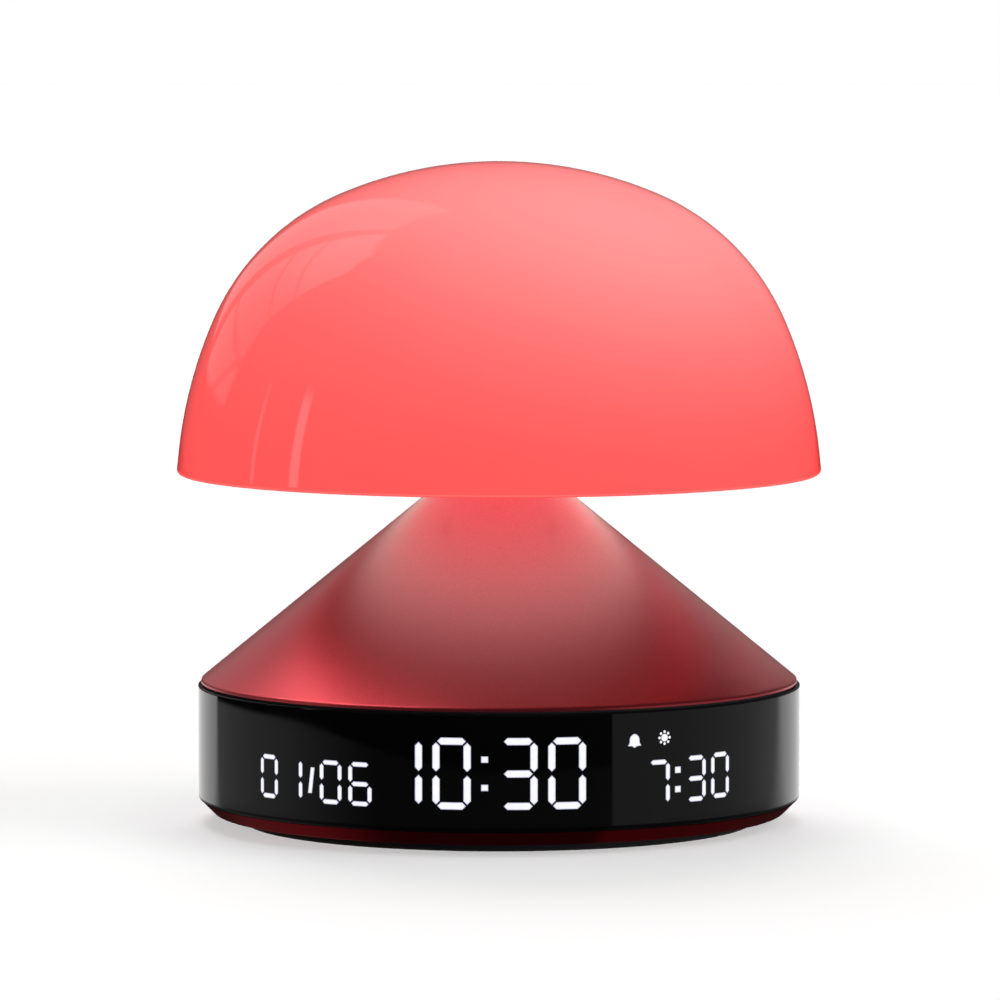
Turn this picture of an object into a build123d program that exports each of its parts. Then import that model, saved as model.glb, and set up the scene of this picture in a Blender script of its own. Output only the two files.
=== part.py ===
from build123d import *
from math import atan, cos, degrees, radians, sin, sqrt, tan
import os

# Sunrise alarm clock. An opal dome floats over a metallic cone, which stands on a black display band.
# The origin is the middle of the underside, +Z is up, and the display faces -Y. Millimetres and degrees.

os.makedirs("parts", exist_ok=True)

# ---- driving dimensions -------------------------------------------------------------------------

# Clearances
FIT = 0.1               # between shells that locate each other
RUN = 0.05              # radial, between a sliding piece and its guide
KEY_GAP = 0.15          # between a key and its opening in the band
SOFT = 0.3              # between a wire or battery and the hard pieces near it
SPARE = 1.0             # what a cutting shape runs past the piece it cuts

# Foot ring
FOOT_HEIGHT = 1.5       # how far the foot ring lifts the pan
FOOT_SUNK = 0.8         # depth of its groove in the pan
FOOT_WIDTH = 4.0
FOOT_INSET = 0.5        # from the start of the pan's chamfer in to the foot ring

# Base pan
PAN_RISE = 3.9          # height of the chamfered side
PAN_RUN = 9.7           # how far the chamfer slopes out
PAN_INSET = 0.7         # from the band's face in to the pan's edge
PAN_WALL = 2.0
SPIGOT_HEIGHT = 3.0     # the pan's upstand inside the band
SPIGOT_WALL = 2.0

# Display band
BAND_R = 70.2
BAND_WALL = 2.5
BAND_HEIGHT = 26.9
BAND_BEVEL = 0.3        # fine bevel round the top edge
BAND_ROUND = 1.2        # round of the bottom edge

# Chassis rim seen as a dark groove between the band and the cone
REVEAL = 0.5
REVEAL_DEPTH = 1.3
DECK = 2.5              # thickness of the chassis deck

# Cone cover
LIP_INSET = 0.75        # from the band's face in to the cone's lip
LIP_HEIGHT = 0.75
CONE_HEIGHT = 45.85     # from the lip to the neck
NECK_R = 13.5
CONE_WALL = 2.0
CONE_ROUND = 0.3        # softens the lip's corner

# Head
HEAD_TRAVEL = 1.2
STOP_GAP = 0.15         # left between collar and neck when the head is fully down
COLLAR_HEIGHT = 1.15
COLLAR_WALL = 4.6
UNDER_WALL = 2.0
UNDER_RECESS = 0.4      # from the dome's rim up to the underplate's face
UNDER_GAP = 0.25        # round the underplate, inside the dome
DOME_R = 75.0
DOME_HEIGHT = 72.5
DOME_WALL = 2.2
CROWN_R = 94.3
CROWN_ANGLE = 23.1      # half angle of the flat crown, from straight up
SHOULDER_R = 56.2
SHOULDER_ANGLE = 43.6   # turned by the shoulder arc before the wall begins
RIM_ROUND = 1.2
SNAPS = 6
SNAP_WIDTH = 8.0
SNAP_WALL = 1.6
SNAP_HEIGHT = 3.0       # from the underplate up to the snap groove
SNAP_BACK = 0.8         # from the underplate's edge in to the snap's arm, as the dome leans in
SNAP_LIP = 0.6          # depth of the groove, from the bore at the rim
SNAP_NOSE = 1.0         # height of the nose

# Stem, its bush, spring and clip
STEM_R = 6.5
STEM_FLAT = 5.6         # from the axis to each of the two flats that stop the head turning
STEM_BORE = 3.5
STEM_PLUG = 2.5         # solid end that works the switch
WINDOW_HEIGHT = 7.5     # opening where the lead leaves the stem
WINDOW_WIDTH = 3.4
HUB_R = 9.3             # shoulder over the spring, passing up through the neck
HUB_HEIGHT = 9.9
NECK_CLEAR = 1.1        # round the hub, inside the cone's neck
STEM_FLANGE_R = 17.0
STEM_FLANGE = 2.5
SPRING_LENGTH = 12.5
SPRING_R = 8.0          # to the middle of the wire
SPRING_WIRE = 0.9
SPRING_TURNS = 4
BUSH_LENGTH = 8.0
BUSH_WALL = 2.45
BUSH_FLANGE_R = 11.0
BUSH_FLANGE = 1.5
CLIP_R = 9.0
CLIP_WALL = 0.9
CLIP_GROOVE = 5.3       # radius left at the bottom of the clip's groove
CLIP_MOUTH = 8.0

# Chassis
TOWER_BORE = 13.0
TOWER_WALL = 2.5
RIB_WALL = 2.0
RIB_REACH = 24.0        # from the tower's wall outwards
RIB_STEP = 3.0          # from the tower's top down to the top of a rib
LEG_R = 4.0
LEG_INSET = 5.3         # from the foot ring in to the middle of a leg
REAR_LEG_GAP = 3.4      # between the rear leg and the key board
COVER_BOSS_R = 4.0
COVER_BOSS_REACH = 46.0
DECK_OPENING = 9.0      # radius, for the head switch

# Screws: pan-head, small for boards and the head, large for the housings
SMALL_SHANK_R = 1.0
SMALL_HEAD_R = 2.0
SMALL_HEAD_HEIGHT = 1.3
SMALL_LENGTH = 4.0
LARGE_SHANK_R = 1.4
LARGE_HEAD_R = 2.8
LARGE_HEAD_HEIGHT = 1.7
LARGE_LENGTH = 9.0
PILOT = 0.05            # radial, round a screw's shank

# Light engine
CARRIER_R = 22.5
CARRIER_HEIGHT = 11.5
CARRIER_WALL = 1.5
CARRIER_FOOT = 4.5      # width of the foot flange
LED_BOARD_R = 22.0
LED_WIDTH = 5.0
LED_HEIGHT = 1.4
LED_RING = 16.5
LEDS = 12
LEAD_PASS = 4.0         # hole in the carrier for the head's lead

# Head switch and its board
BOARD = 1.6             # thickness of every circuit board
SWITCH_WIDTH = 12.0
SWITCH_HEIGHT = 3.5
SWITCH_PLUNGER_R = 3.4
SWITCH_PLUNGER_FOOT = 1.6   # from the board to the plunger's foot at rest
SWITCH_PLUNGER = 6.6    # length of the plunger
SWITCH_BOARD_R = 12.2
SWITCH_SCREW_REACH = 10.6

# Head lead
LEAD_R = 1.2
LEAD_REACH = 10.4       # from the axis to where the lead drops beside the switch
LEAD_BEND = 4.6
LEAD_ENTRY = 1.0        # above the window's top, where the lead turns out

# Display modules: a reflector block with light pipes in its wells, on a flat board
MODULE_GAP = 0.3        # between a module's face and the band
MODULE_DEPTH = 7.0      # from the middle of a module's face to the back of its reflector
MODULE_HEIGHT = 21.7
MODULE_EDGE_ANGLE = 0.4     # angle left free at each end of a module
MODULE_BOARD_INSET = 0.4    # from the end of a reflector's back in to its board's end
STROKE_UP = 1.8         # width of an upright segment
STROKE_ACROSS = 1.65    # width of a level segment
SEGMENT_GAP = 0.35      # black left between two segments that meet
DIGIT_LEVEL = 18.9      # height of the middle of the time
TIME_DIGIT = (8.9, 16.5)
TIME_COLON = (1.8, 1.6, 3.2)    # width, height and half the spacing of a colon's two squares
TIME_TURN_ANGLE = -2.6
TIME_ANGLES = (-15.25, -6.15, 6.15, 15.25)
TIME_HALF_ANGLE = 19.8
DATE_LEVEL = 15.8
DATE_DIGIT = (6.0, 10.3)
DATE_TURN_ANGLE = -37.4
DATE_ANGLES = (-10.8, -4.5, 4.5, 10.8)
DATE_HALF_ANGLE = 14.6
SLASH = (1.1, 5.9, 0.95)        # width, height and half the lean of the date's slash
ALARM_LEVEL = 16.3
ALARM_DIGIT = (6.0, 10.9)
ALARM_COLON = (1.8, 1.6, 2.2)
ALARM_TURN_ANGLE = 35.25
ALARM_ANGLES = (-10.5, -4.25, 4.3, 10.55)
ALARM_HALF_ANGLE = 14.6
SMALL_STROKE = 1.0      # stroke of the date and alarm digits
ICON_LEVEL = 25.8
BELL_ANGLE = -9.4
SUN_ANGLE = -3.0
BELL_WIDTH = 3.3
SUN_WIDTH = 3.4

# Main board
MAIN_BOARD = (37.0, 50.0)
MAIN_BOARD_AT = (25.5, 16.0)
STANDOFF_R = 2.5
STANDOFF_HEIGHT = 4.0
MAIN_SCREW_INSET = 2.6
CHIP_HEIGHT = 1.4
CHIPS = {"processor": (26.0, 17.0, 10.0), "amplifier": (36.5, 5.0, 6.0), "charger": (18.0, 30.0, 5.0)}
CONNECTOR = (6.0, 5.0, 5.0)
BATTERY_PLUG_X = 23.0   # the plugs along the board's front and left edges
SPEAKER_PLUG_Y = 12.0
PORT_PLUG = (24.0, 37.5)
WIRE_R = 0.7
WIRE_PITCH = 2.0

# Battery
CELL_R = 9.2
CELL_LENGTH = 65.0
CELL_AT = -22.0
HOLDER_WALL = 1.5
HOLDER_FLOOR = 1.5
HOLDER_RISE = 8.0       # from the pan's floor to the top of the holder's sides

# Speaker
SPEAKER_AT = (-24.0, 14.0)
SPEAKER_R = 18.0
SPEAKER_RIM = 3.0
SPEAKER_WALL = 1.2
SPEAKER_DEPTH = 8.0
MAGNET_R = 10.0
MAGNET_HEIGHT = 6.0
GASKET = 0.6
CONE_PAPER = 0.5
GRILLE_R = 13.0
GRILLE_PITCH = 4.0
GRILLE_SLOT = 2.0

# Rear keys, their switches and board
KEY_NAMES = ("alarm_key", "clock_key", "minus_key", "plus_key", "light_key")
KEY_PITCH = 12.0
KEY_WIDTH = 8.0
KEY_HEIGHT = 6.0
KEY_LEVEL = 23.0
KEY_PROUD = 0.6
KEY_ROUND = 1.5
KEY_FLANGE = 1.0        # the flange's overlap behind the band, all round
KEY_FLANGE_WALL = 1.5
KEY_POST_R = 2.2
KEY_TRAVEL = 0.4
TACT_WIDTH = 6.0
TACT_HEIGHT = 3.5
TACT_PLUNGER_R = 1.75
TACT_PLUNGER = 3.3
TACT_PROUD = 1.4        # of the plunger, over the switch's face
TACT_SPARE = 0.2        # left under the plunger when its key is fully in
KEY_BOARD_DEPTH = 14.7  # from the band's bore in to the board's front
KEY_BOARD = (66.0, 13.0)
KEY_BRACKET = (5.0, 2.0)
KEY_BRACKET_AT = 30.0

# Power inlet and its board
PORT_LEVEL = 13.0       # middle of the inlet
PORT_WIDTH = 12.8       # opening in the band, for the plug's grip
PORT_HEIGHT = 7.0
PORT_ROUND = 3.0
INLET_WIDTH = 8.94
INLET_HEIGHT = 3.26
INLET_DEPTH = 7.35
INLET_WALL = 0.3
INLET_RECESS = 3.8      # from the band's face in to the inlet's mouth
INLET_BACK = 1.0
TONGUE = (6.7, 0.7, 4.8)
PORT_BOARD = (16.0, 15.4)
PORT_SCREW_X = 5.5
PORT_SCREW_INSET = 12.4  # from the inlet's mouth in to the port board's screws

# ---- heights and radii that follow --------------------------------------------------------------

PAN_Z = FOOT_HEIGHT
FLOOR_Z = PAN_Z + PAN_WALL
BAND_Z = PAN_Z + PAN_RISE
BAND_TOP = BAND_Z + BAND_HEIGHT
LIP_Z = BAND_TOP + REVEAL
DECK_Z = LIP_Z - DECK
CONE_Z = LIP_Z + LIP_HEIGHT
NECK_Z = CONE_Z + CONE_HEIGHT
COLLAR_Z = NECK_Z + HEAD_TRAVEL + STOP_GAP
UNDER_Z = COLLAR_Z + COLLAR_HEIGHT
UNDER_TOP = UNDER_Z + UNDER_WALL
RIM_Z = UNDER_Z - UNDER_RECESS
DOME_TOP = RIM_Z + DOME_HEIGHT

BAND_BORE = BAND_R - BAND_WALL
LIP_R = BAND_R - LIP_INSET
PAN_R = BAND_R - PAN_INSET
PAN_EDGE = PAN_R - PAN_RUN
FOOT_R = PAN_EDGE - FOOT_INSET
SPIGOT_R = BAND_BORE - FIT
CONE_SLOPE = atan(CONE_HEIGHT / (LIP_R - NECK_R))
PAN_SLOPE = atan(PAN_RISE / PAN_RUN)
SHADE_BORE = DOME_R - DOME_WALL
UNDER_R = SHADE_BORE - UNDER_GAP

HUB_Z = UNDER_TOP - HUB_HEIGHT
BUSH_TOP = HUB_Z - SPRING_LENGTH
TOWER_TOP = BUSH_TOP - BUSH_FLANGE
BUSH_Z = TOWER_TOP - BUSH_LENGTH
CLIP_Z = BUSH_Z - RUN - FIT - CLIP_WALL
BUSH_R = STEM_R + RUN + BUSH_WALL
STEM_Z = DECK_Z + SWITCH_PLUNGER_FOOT + SWITCH_PLUNGER
WINDOW_Z = STEM_Z + STEM_PLUG

CARRIER_TOP = UNDER_TOP + CARRIER_HEIGHT
LED_BOARD_TOP = CARRIER_TOP + BOARD
MAIN_BOARD_Z = FLOOR_Z + STANDOFF_HEIGHT
MAIN_BOARD_TOP = MAIN_BOARD_Z + BOARD
LEAD_END = MAIN_BOARD_TOP + CONNECTOR[2]
INLET_FACE = BAND_R - INLET_RECESS
PORT_SCREW_Y = INLET_FACE - PORT_SCREW_INSET
INLET_Z = PORT_LEVEL - INLET_HEIGHT / 2
PORT_BOARD_Z = INLET_Z - BOARD
KEY_BOARD_FACE = BAND_BORE - KEY_BOARD_DEPTH
TACT_FACE = KEY_BOARD_FACE + TACT_HEIGHT
PLUNGER_FACE = TACT_FACE + TACT_PROUD
KEY_BOARD_BACK = KEY_BOARD_FACE - BOARD
CELL_Z = FLOOR_Z + HOLDER_FLOOR + CELL_R
KEY_XS = [KEY_PITCH * (i - (len(KEY_NAMES) - 1) / 2) for i in range(len(KEY_NAMES))]
LEG_REACH = FOOT_R - FOOT_WIDTH - LEG_INSET
REAR_LEG_REACH = KEY_BOARD_BACK - REAR_LEG_GAP - LEG_R
LEGS = [(LEG_REACH, 0), (0, REAR_LEG_REACH), (-LEG_REACH, 0), (0, -LEG_REACH)]
PORT_SCREWS = [(-PORT_SCREW_X, PORT_SCREW_Y), (PORT_SCREW_X, PORT_SCREW_Y)]
MAIN_SCREWS = [
    (MAIN_BOARD_AT[0] + sx * (MAIN_BOARD[0] / 2 - MAIN_SCREW_INSET),
     MAIN_BOARD_AT[1] + sy * (MAIN_BOARD[1] / 2 - MAIN_SCREW_INSET))
    for sx in (-1, 1) for sy in (-1, 1)
]


# ---- shared helpers -----------------------------------------------------------------------------

def finish(builder, name):
    """Label a finished piece and write it to its own file."""
    builder.part.label = name
    export_step(builder.part, f"parts/{name}.step")


def facing_rear(y):
    """A plane at distance y behind the axis that looks out of the back; its x runs to -X."""
    return Plane(origin=(0, y, 0), x_dir=(-1, 0, 0), z_dir=(0, 1, 0))


def cylinder(plane, points, radius, height, mode=Mode.ADD):
    """Round bosses, pins or holes from a plane, one at each point."""
    with BuildSketch(plane) as circles:
        with Locations(*points):
            Circle(radius)
    extrude(circles.sketch, amount=height, mode=mode)


def ring(z, outer, inner, height, mode=Mode.ADD):
    """A flat ring about the axis."""
    with BuildSketch(Plane.XY.offset(z)) as annulus:
        Circle(outer)
        Circle(inner, mode=Mode.SUBTRACT)
    extrude(annulus.sketch, amount=height, mode=mode)


def box(z, center, size, height, mode=Mode.ADD):
    """A block that stands on height z."""
    with BuildSketch(Plane.XY.offset(z)) as rectangle:
        with Locations(center):
            Rectangle(*size)
    extrude(rectangle.sketch, amount=height, mode=mode)


def small_screws(plane, points, length=SMALL_LENGTH):
    """Small pan-head screws: heads stand on the plane, shanks go back through it."""
    cylinder(plane, points, SMALL_HEAD_R, SMALL_HEAD_HEIGHT)
    cylinder(plane, points, SMALL_SHANK_R, -length)


def polar(radius, count, start=0.0):
    """Points evenly spaced on a circle."""
    turns = [radians(start + 360 * i / count) for i in range(count)]
    return [(radius * cos(t), radius * sin(t)) for t in turns]


# ---- base pan and foot ring ---------------------------------------------------------------------

with BuildPart() as base_pan:
    inner_edge = PAN_EDGE - PAN_WALL * tan(PAN_SLOPE / 2)
    spigot_bore = SPIGOT_R - SPIGOT_WALL
    with BuildSketch(Plane.XZ):
        with BuildLine():
            Polyline(
                (0, PAN_Z),
                (PAN_EDGE, PAN_Z),
                (PAN_R, BAND_Z),
                (SPIGOT_R, BAND_Z),
                (SPIGOT_R, BAND_Z + SPIGOT_HEIGHT),
                (spigot_bore, BAND_Z + SPIGOT_HEIGHT),
                (spigot_bore, FLOOR_Z + (spigot_bore - inner_edge) * tan(PAN_SLOPE)),
                (inner_edge, FLOOR_Z),
                (0, FLOOR_Z),
                close=True,
            )
        make_face()
    revolve(axis=Axis.Z)
    ring(PAN_Z, FOOT_R, FOOT_R - FOOT_WIDTH, FOOT_SUNK, mode=Mode.SUBTRACT)

    # Cups that sink the four pan screws, each with its hole
    underside = Plane.XY.offset(PAN_Z)
    pan_floor = Plane.XY.offset(FLOOR_Z)
    cylinder(pan_floor, LEGS, LARGE_HEAD_R + PAN_WALL, LARGE_HEAD_HEIGHT)
    cylinder(underside, LEGS, LARGE_HEAD_R + SOFT, LARGE_HEAD_HEIGHT + FIT, mode=Mode.SUBTRACT)
    cylinder(underside, LEGS, LARGE_SHANK_R + SOFT, PAN_RISE + SPARE, mode=Mode.SUBTRACT)

    # Standoffs for the main board and the port board
    cylinder(pan_floor, MAIN_SCREWS, STANDOFF_R, STANDOFF_HEIGHT)
    cylinder(pan_floor, PORT_SCREWS, STANDOFF_R, PORT_BOARD_Z - FLOOR_Z)
    cylinder(pan_floor, MAIN_SCREWS, SMALL_SHANK_R + PILOT, STANDOFF_HEIGHT, mode=Mode.SUBTRACT)
    cylinder(pan_floor, PORT_SCREWS, SMALL_SHANK_R + PILOT, PORT_LEVEL, mode=Mode.SUBTRACT)

    # Speaker grille: parallel slots that fill a circle
    rows = int((GRILLE_R - GRILLE_SLOT) / GRILLE_PITCH)
    with BuildSketch(Plane.XY.offset(PAN_Z)) as grille:
        for row in range(-rows, rows + 1):
            offset_y = row * GRILLE_PITCH
            with Locations((SPEAKER_AT[0], SPEAKER_AT[1] + offset_y)):
                SlotOverall(2 * sqrt(GRILLE_R**2 - offset_y**2), GRILLE_SLOT)
    extrude(grille.sketch, amount=PAN_WALL, mode=Mode.SUBTRACT)
finish(base_pan, "base_pan")

with BuildPart() as foot_ring:
    ring(0, FOOT_R, FOOT_R - FOOT_WIDTH, FOOT_HEIGHT + FOOT_SUNK)
finish(foot_ring, "foot_ring")

with BuildPart() as pan_screws:
    seat = Plane.XY.offset(PAN_Z + LARGE_HEAD_HEIGHT + FIT)
    cylinder(seat, LEGS, LARGE_HEAD_R, -LARGE_HEAD_HEIGHT)
    cylinder(seat, LEGS, LARGE_SHANK_R, LARGE_LENGTH)
finish(pan_screws, "pan_screws")

# ---- display band -------------------------------------------------------------------------------

with BuildPart() as display_band:
    ring(BAND_Z, BAND_R, BAND_BORE, BAND_HEIGHT)
    top_rim = display_band.edges().filter_by(GeomType.CIRCLE).group_by(Axis.Z)[-1].sort_by(SortBy.RADIUS)[-1]
    chamfer(top_rim, BAND_BEVEL)
    low_rim = display_band.edges().filter_by(GeomType.CIRCLE).group_by(Axis.Z)[0].sort_by(SortBy.RADIUS)[-1]
    fillet(low_rim, BAND_ROUND)

    # Openings at the rear: one for each key, and the port
    with BuildSketch(facing_rear(BAND_BORE / 2)) as openings:
        with Locations(*[(-x, KEY_LEVEL) for x in KEY_XS]):
            RectangleRounded(KEY_WIDTH + 2 * KEY_GAP, KEY_HEIGHT + 2 * KEY_GAP, KEY_ROUND + KEY_GAP)
        with Locations((0, PORT_LEVEL)):
            RectangleRounded(PORT_WIDTH, PORT_HEIGHT, PORT_ROUND)
    extrude(openings.sketch, amount=BAND_R, mode=Mode.SUBTRACT)
finish(display_band, "display_band")

# ---- chassis ------------------------------------------------------------------------------------

COVER_BOSSES = polar(COVER_BOSS_REACH, 4, start=45)

with BuildPart() as chassis:
    # Deck, with the thin rim that shows as the dark groove
    cylinder(Plane.XY.offset(DECK_Z), [(0, 0)], SPIGOT_R, DECK)
    ring(BAND_TOP, BAND_R - REVEAL_DEPTH, SPIGOT_R - SPARE, REVEAL)

    # Tower for the bush, with a solid head and four ribs
    tower_r = TOWER_BORE + TOWER_WALL
    cylinder(Plane.XY.offset(LIP_Z), [(0, 0)], tower_r, TOWER_TOP - LIP_Z)
    with BuildSketch(Plane.XZ) as rib:
        with BuildLine():
            Polyline(
                (TOWER_BORE + RIB_WALL, LIP_Z),
                (tower_r + RIB_REACH, LIP_Z),
                (tower_r + RIB_REACH, LIP_Z + RIB_STEP),
                (TOWER_BORE + RIB_WALL, TOWER_TOP - RIB_STEP),
                close=True,
            )
        make_face()
    with PolarLocations(0, 4):
        extrude(rib.sketch, amount=RIB_WALL / 2, both=True)
    cylinder(Plane.XY.offset(LIP_Z), [(0, 0)], TOWER_BORE, BUSH_Z - LIP_Z, mode=Mode.SUBTRACT)
    cylinder(Plane.XY.offset(BUSH_Z), [(0, 0)], BUSH_R, TOWER_TOP - BUSH_Z, mode=Mode.SUBTRACT)

    # Openings in the deck: the head switch, the lead and the screws
    cylinder(Plane.XY.offset(DECK_Z), [(0, 0)], DECK_OPENING, DECK, mode=Mode.SUBTRACT)
    cylinder(Plane.XY.offset(DECK_Z), [(LEAD_REACH, 0)], LEAD_R + SOFT, DECK, mode=Mode.SUBTRACT)
    switch_screws = [(0, -SWITCH_SCREW_REACH), (0, SWITCH_SCREW_REACH)]
    cylinder(Plane.XY.offset(DECK_Z), switch_screws, SMALL_SHANK_R + PILOT, DECK, mode=Mode.SUBTRACT)
    cylinder(Plane.XY.offset(DECK_Z), COVER_BOSSES, LARGE_SHANK_R + SOFT, DECK, mode=Mode.SUBTRACT)

    # Legs down to the pan, with blind holes for the pan screws
    leg_foot = FLOOR_Z + LARGE_HEAD_HEIGHT
    cylinder(Plane.XY.offset(leg_foot), LEGS, LEG_R, DECK_Z - leg_foot)
    cylinder(Plane.XY.offset(leg_foot), LEGS, LARGE_SHANK_R + PILOT, LARGE_LENGTH, mode=Mode.SUBTRACT)

    # Brackets that hang from the deck and carry the key board
    bracket_foot = KEY_LEVEL - SMALL_HEAD_R
    for x in (-KEY_BRACKET_AT, KEY_BRACKET_AT):
        at = (x, KEY_BOARD_BACK - KEY_BRACKET[1] / 2)
        box(bracket_foot, at, KEY_BRACKET, DECK_Z - bracket_foot)
    bracket_screws = [(-KEY_BRACKET_AT, KEY_LEVEL), (KEY_BRACKET_AT, KEY_LEVEL)]
    bracket_face = facing_rear(KEY_BOARD_BACK)
    cylinder(bracket_face, bracket_screws, SMALL_SHANK_R + PILOT, -KEY_BRACKET[1], mode=Mode.SUBTRACT)
finish(chassis, "chassis")

with BuildPart() as cover_screws:
    under_deck = Plane.XY.offset(DECK_Z)
    cylinder(under_deck, COVER_BOSSES, LARGE_HEAD_R, -LARGE_HEAD_HEIGHT)
    cylinder(under_deck, COVER_BOSSES, LARGE_SHANK_R, LARGE_LENGTH)
finish(cover_screws, "cover_screws")

# ---- cone cover ---------------------------------------------------------------------------------

with BuildPart() as cone_cover:
    # Bosses for the cover screws, trimmed to the cone
    cylinder(Plane.XY.offset(LIP_Z), COVER_BOSSES, COVER_BOSS_R, CONE_HEIGHT)
    with BuildSketch(Plane.XZ) as cone_solid:
        with BuildLine():
            Polyline((0, LIP_Z), (LIP_R, LIP_Z), (LIP_R, CONE_Z), (NECK_R, NECK_Z), (0, NECK_Z), close=True)
        make_face()
    revolve(cone_solid.sketch, axis=Axis.Z, mode=Mode.INTERSECT)

    # The shell itself
    level_wall = CONE_WALL / sin(CONE_SLOPE)
    neck_bore = HUB_R + NECK_CLEAR
    neck_z = NECK_Z - CONE_WALL
    neck_inner = NECK_R + CONE_WALL / tan(CONE_SLOPE) - level_wall
    foot_inner = LIP_R + LIP_HEIGHT / tan(CONE_SLOPE) - level_wall
    with BuildSketch(Plane.XZ) as cone_shell:
        with BuildLine():
            Polyline(
                (LIP_R, LIP_Z),
                (LIP_R, CONE_Z),
                (NECK_R, NECK_Z),
                (neck_bore, NECK_Z),
                (neck_bore, neck_z),
                (max(neck_inner, neck_bore), neck_z),
                (foot_inner, LIP_Z),
                close=True,
            )
        make_face()
    revolve(cone_shell.sketch, axis=Axis.Z)
    lip_rim = cone_cover.edges().filter_by(GeomType.CIRCLE).sort_by(SortBy.RADIUS)[-2:].sort_by(Axis.Z)[-1]
    fillet(lip_rim, CONE_ROUND)
    cover_pilot = LARGE_LENGTH - DECK + SPARE
    cylinder(Plane.XY.offset(LIP_Z), COVER_BOSSES, LARGE_SHANK_R + PILOT, cover_pilot, mode=Mode.SUBTRACT)
finish(cone_cover, "cone_cover")

# ---- head: dome and underplate ------------------------------------------------------------------


def dome_side(inset):
    """Outline from crown to rim: a flat crown, a rounder shoulder and a wall tangent to it."""
    crown = JernArc((0, DOME_TOP - inset), (1, 0), CROWN_R - inset, -CROWN_ANGLE)
    shoulder = JernArc(crown @ 1, crown % 1, SHOULDER_R - inset, -SHOULDER_ANGLE)
    TangentArc(shoulder @ 1, (DOME_R - inset, RIM_Z), tangent=shoulder % 1)


SNAP_Z = UNDER_TOP + SNAP_HEIGHT

with BuildPart() as dome_shade:
    with BuildSketch(Plane.XZ):
        with BuildLine():
            dome_side(0)
            Line((DOME_R, RIM_Z), (SHADE_BORE, RIM_Z))
            dome_side(DOME_WALL)
            Line((0, DOME_TOP - DOME_WALL), (0, DOME_TOP))
        make_face()
    revolve(axis=Axis.Z)
    rim = dome_shade.edges().filter_by(GeomType.CIRCLE).group_by(Axis.Z)[0].sort_by(SortBy.RADIUS)[-1]
    fillet(rim, RIM_ROUND)
    # Groove inside the rim that the snaps hook into
    ring(SNAP_Z, SHADE_BORE + SNAP_LIP, UNDER_R - SNAP_WALL, SNAP_NOSE + 2 * SOFT, mode=Mode.SUBTRACT)
finish(dome_shade, "dome_shade")

STEM_SCREWS = polar((HUB_R + STEM_FLANGE_R) / 2, 3, start=90)
CARRIER_SCREWS = polar(CARRIER_R + CARRIER_FOOT / 2, 4, start=45)

with BuildPart() as dome_underplate:
    cylinder(Plane.XY.offset(UNDER_Z), [(0, 0)], UNDER_R, UNDER_WALL)
    # Collar that lands on the cone's neck when the head is pressed
    cylinder(Plane.XY.offset(COLLAR_Z), [(0, 0)], HUB_R + COLLAR_WALL, COLLAR_HEIGHT)
    cylinder(Plane.XY.offset(COLLAR_Z), [(0, 0)], HUB_R + FIT, COLLAR_HEIGHT + UNDER_WALL, mode=Mode.SUBTRACT)
    # Snaps round the edge, each with a nose for the dome's groove
    arm_r = UNDER_R - SNAP_BACK
    with BuildSketch(Plane.XZ) as snap:
        with BuildLine():
            Polyline(
                (arm_r - SNAP_WALL, UNDER_Z),
                (arm_r, UNDER_Z),
                (arm_r, SNAP_Z + SOFT),
                (SHADE_BORE + SNAP_LIP - SOFT, SNAP_Z + SOFT),
                (arm_r, SNAP_Z + SOFT + SNAP_NOSE),
                (arm_r - SNAP_WALL, SNAP_Z + SOFT + SNAP_NOSE),
                close=True,
            )
        make_face()
    snap_arc = degrees(SNAP_WIDTH / UNDER_R)
    for i in range(SNAPS):
        turn = 360 * i / SNAPS - snap_arc / 2
        revolve(snap.sketch.rotate(Axis.Z, turn), axis=Axis.Z, revolution_arc=snap_arc)
    pilot = SMALL_SHANK_R + PILOT
    cylinder(Plane.XY.offset(COLLAR_Z), STEM_SCREWS, pilot, COLLAR_HEIGHT + UNDER_WALL, mode=Mode.SUBTRACT)
    cylinder(Plane.XY.offset(UNDER_Z), CARRIER_SCREWS, pilot, UNDER_WALL, mode=Mode.SUBTRACT)
finish(dome_underplate, "dome_underplate")

# ---- head: stem, bush, clip and spring ----------------------------------------------------------

with BuildPart() as head_stem:
    # A round stem with two flats, closed at its foot
    with BuildSketch(Plane.XY.offset(STEM_Z)) as stem_section:
        Circle(STEM_R)
        Rectangle(2 * STEM_R, 2 * STEM_FLAT, mode=Mode.INTERSECT)
    extrude(stem_section.sketch, amount=HUB_Z - STEM_Z)
    cylinder(Plane.XY.offset(HUB_Z), [(0, 0)], HUB_R, HUB_HEIGHT)
    cylinder(Plane.XY.offset(UNDER_TOP), [(0, 0)], STEM_FLANGE_R, STEM_FLANGE)
    cylinder(
        Plane.XY.offset(WINDOW_Z), [(0, 0)], STEM_BORE, UNDER_TOP + STEM_FLANGE - WINDOW_Z, mode=Mode.SUBTRACT
    )
    # Window for the lead, groove for the clip, and screw holes
    box(WINDOW_Z, (STEM_R / 2, 0), (STEM_R + SPARE, WINDOW_WIDTH), WINDOW_HEIGHT, mode=Mode.SUBTRACT)
    ring(CLIP_Z - RUN, STEM_R + SPARE, CLIP_GROOVE, CLIP_WALL + 2 * RUN, mode=Mode.SUBTRACT)
    cylinder(Plane.XY.offset(UNDER_TOP), STEM_SCREWS, SMALL_SHANK_R + PILOT, STEM_FLANGE, mode=Mode.SUBTRACT)
finish(head_stem, "head_stem")

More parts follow.
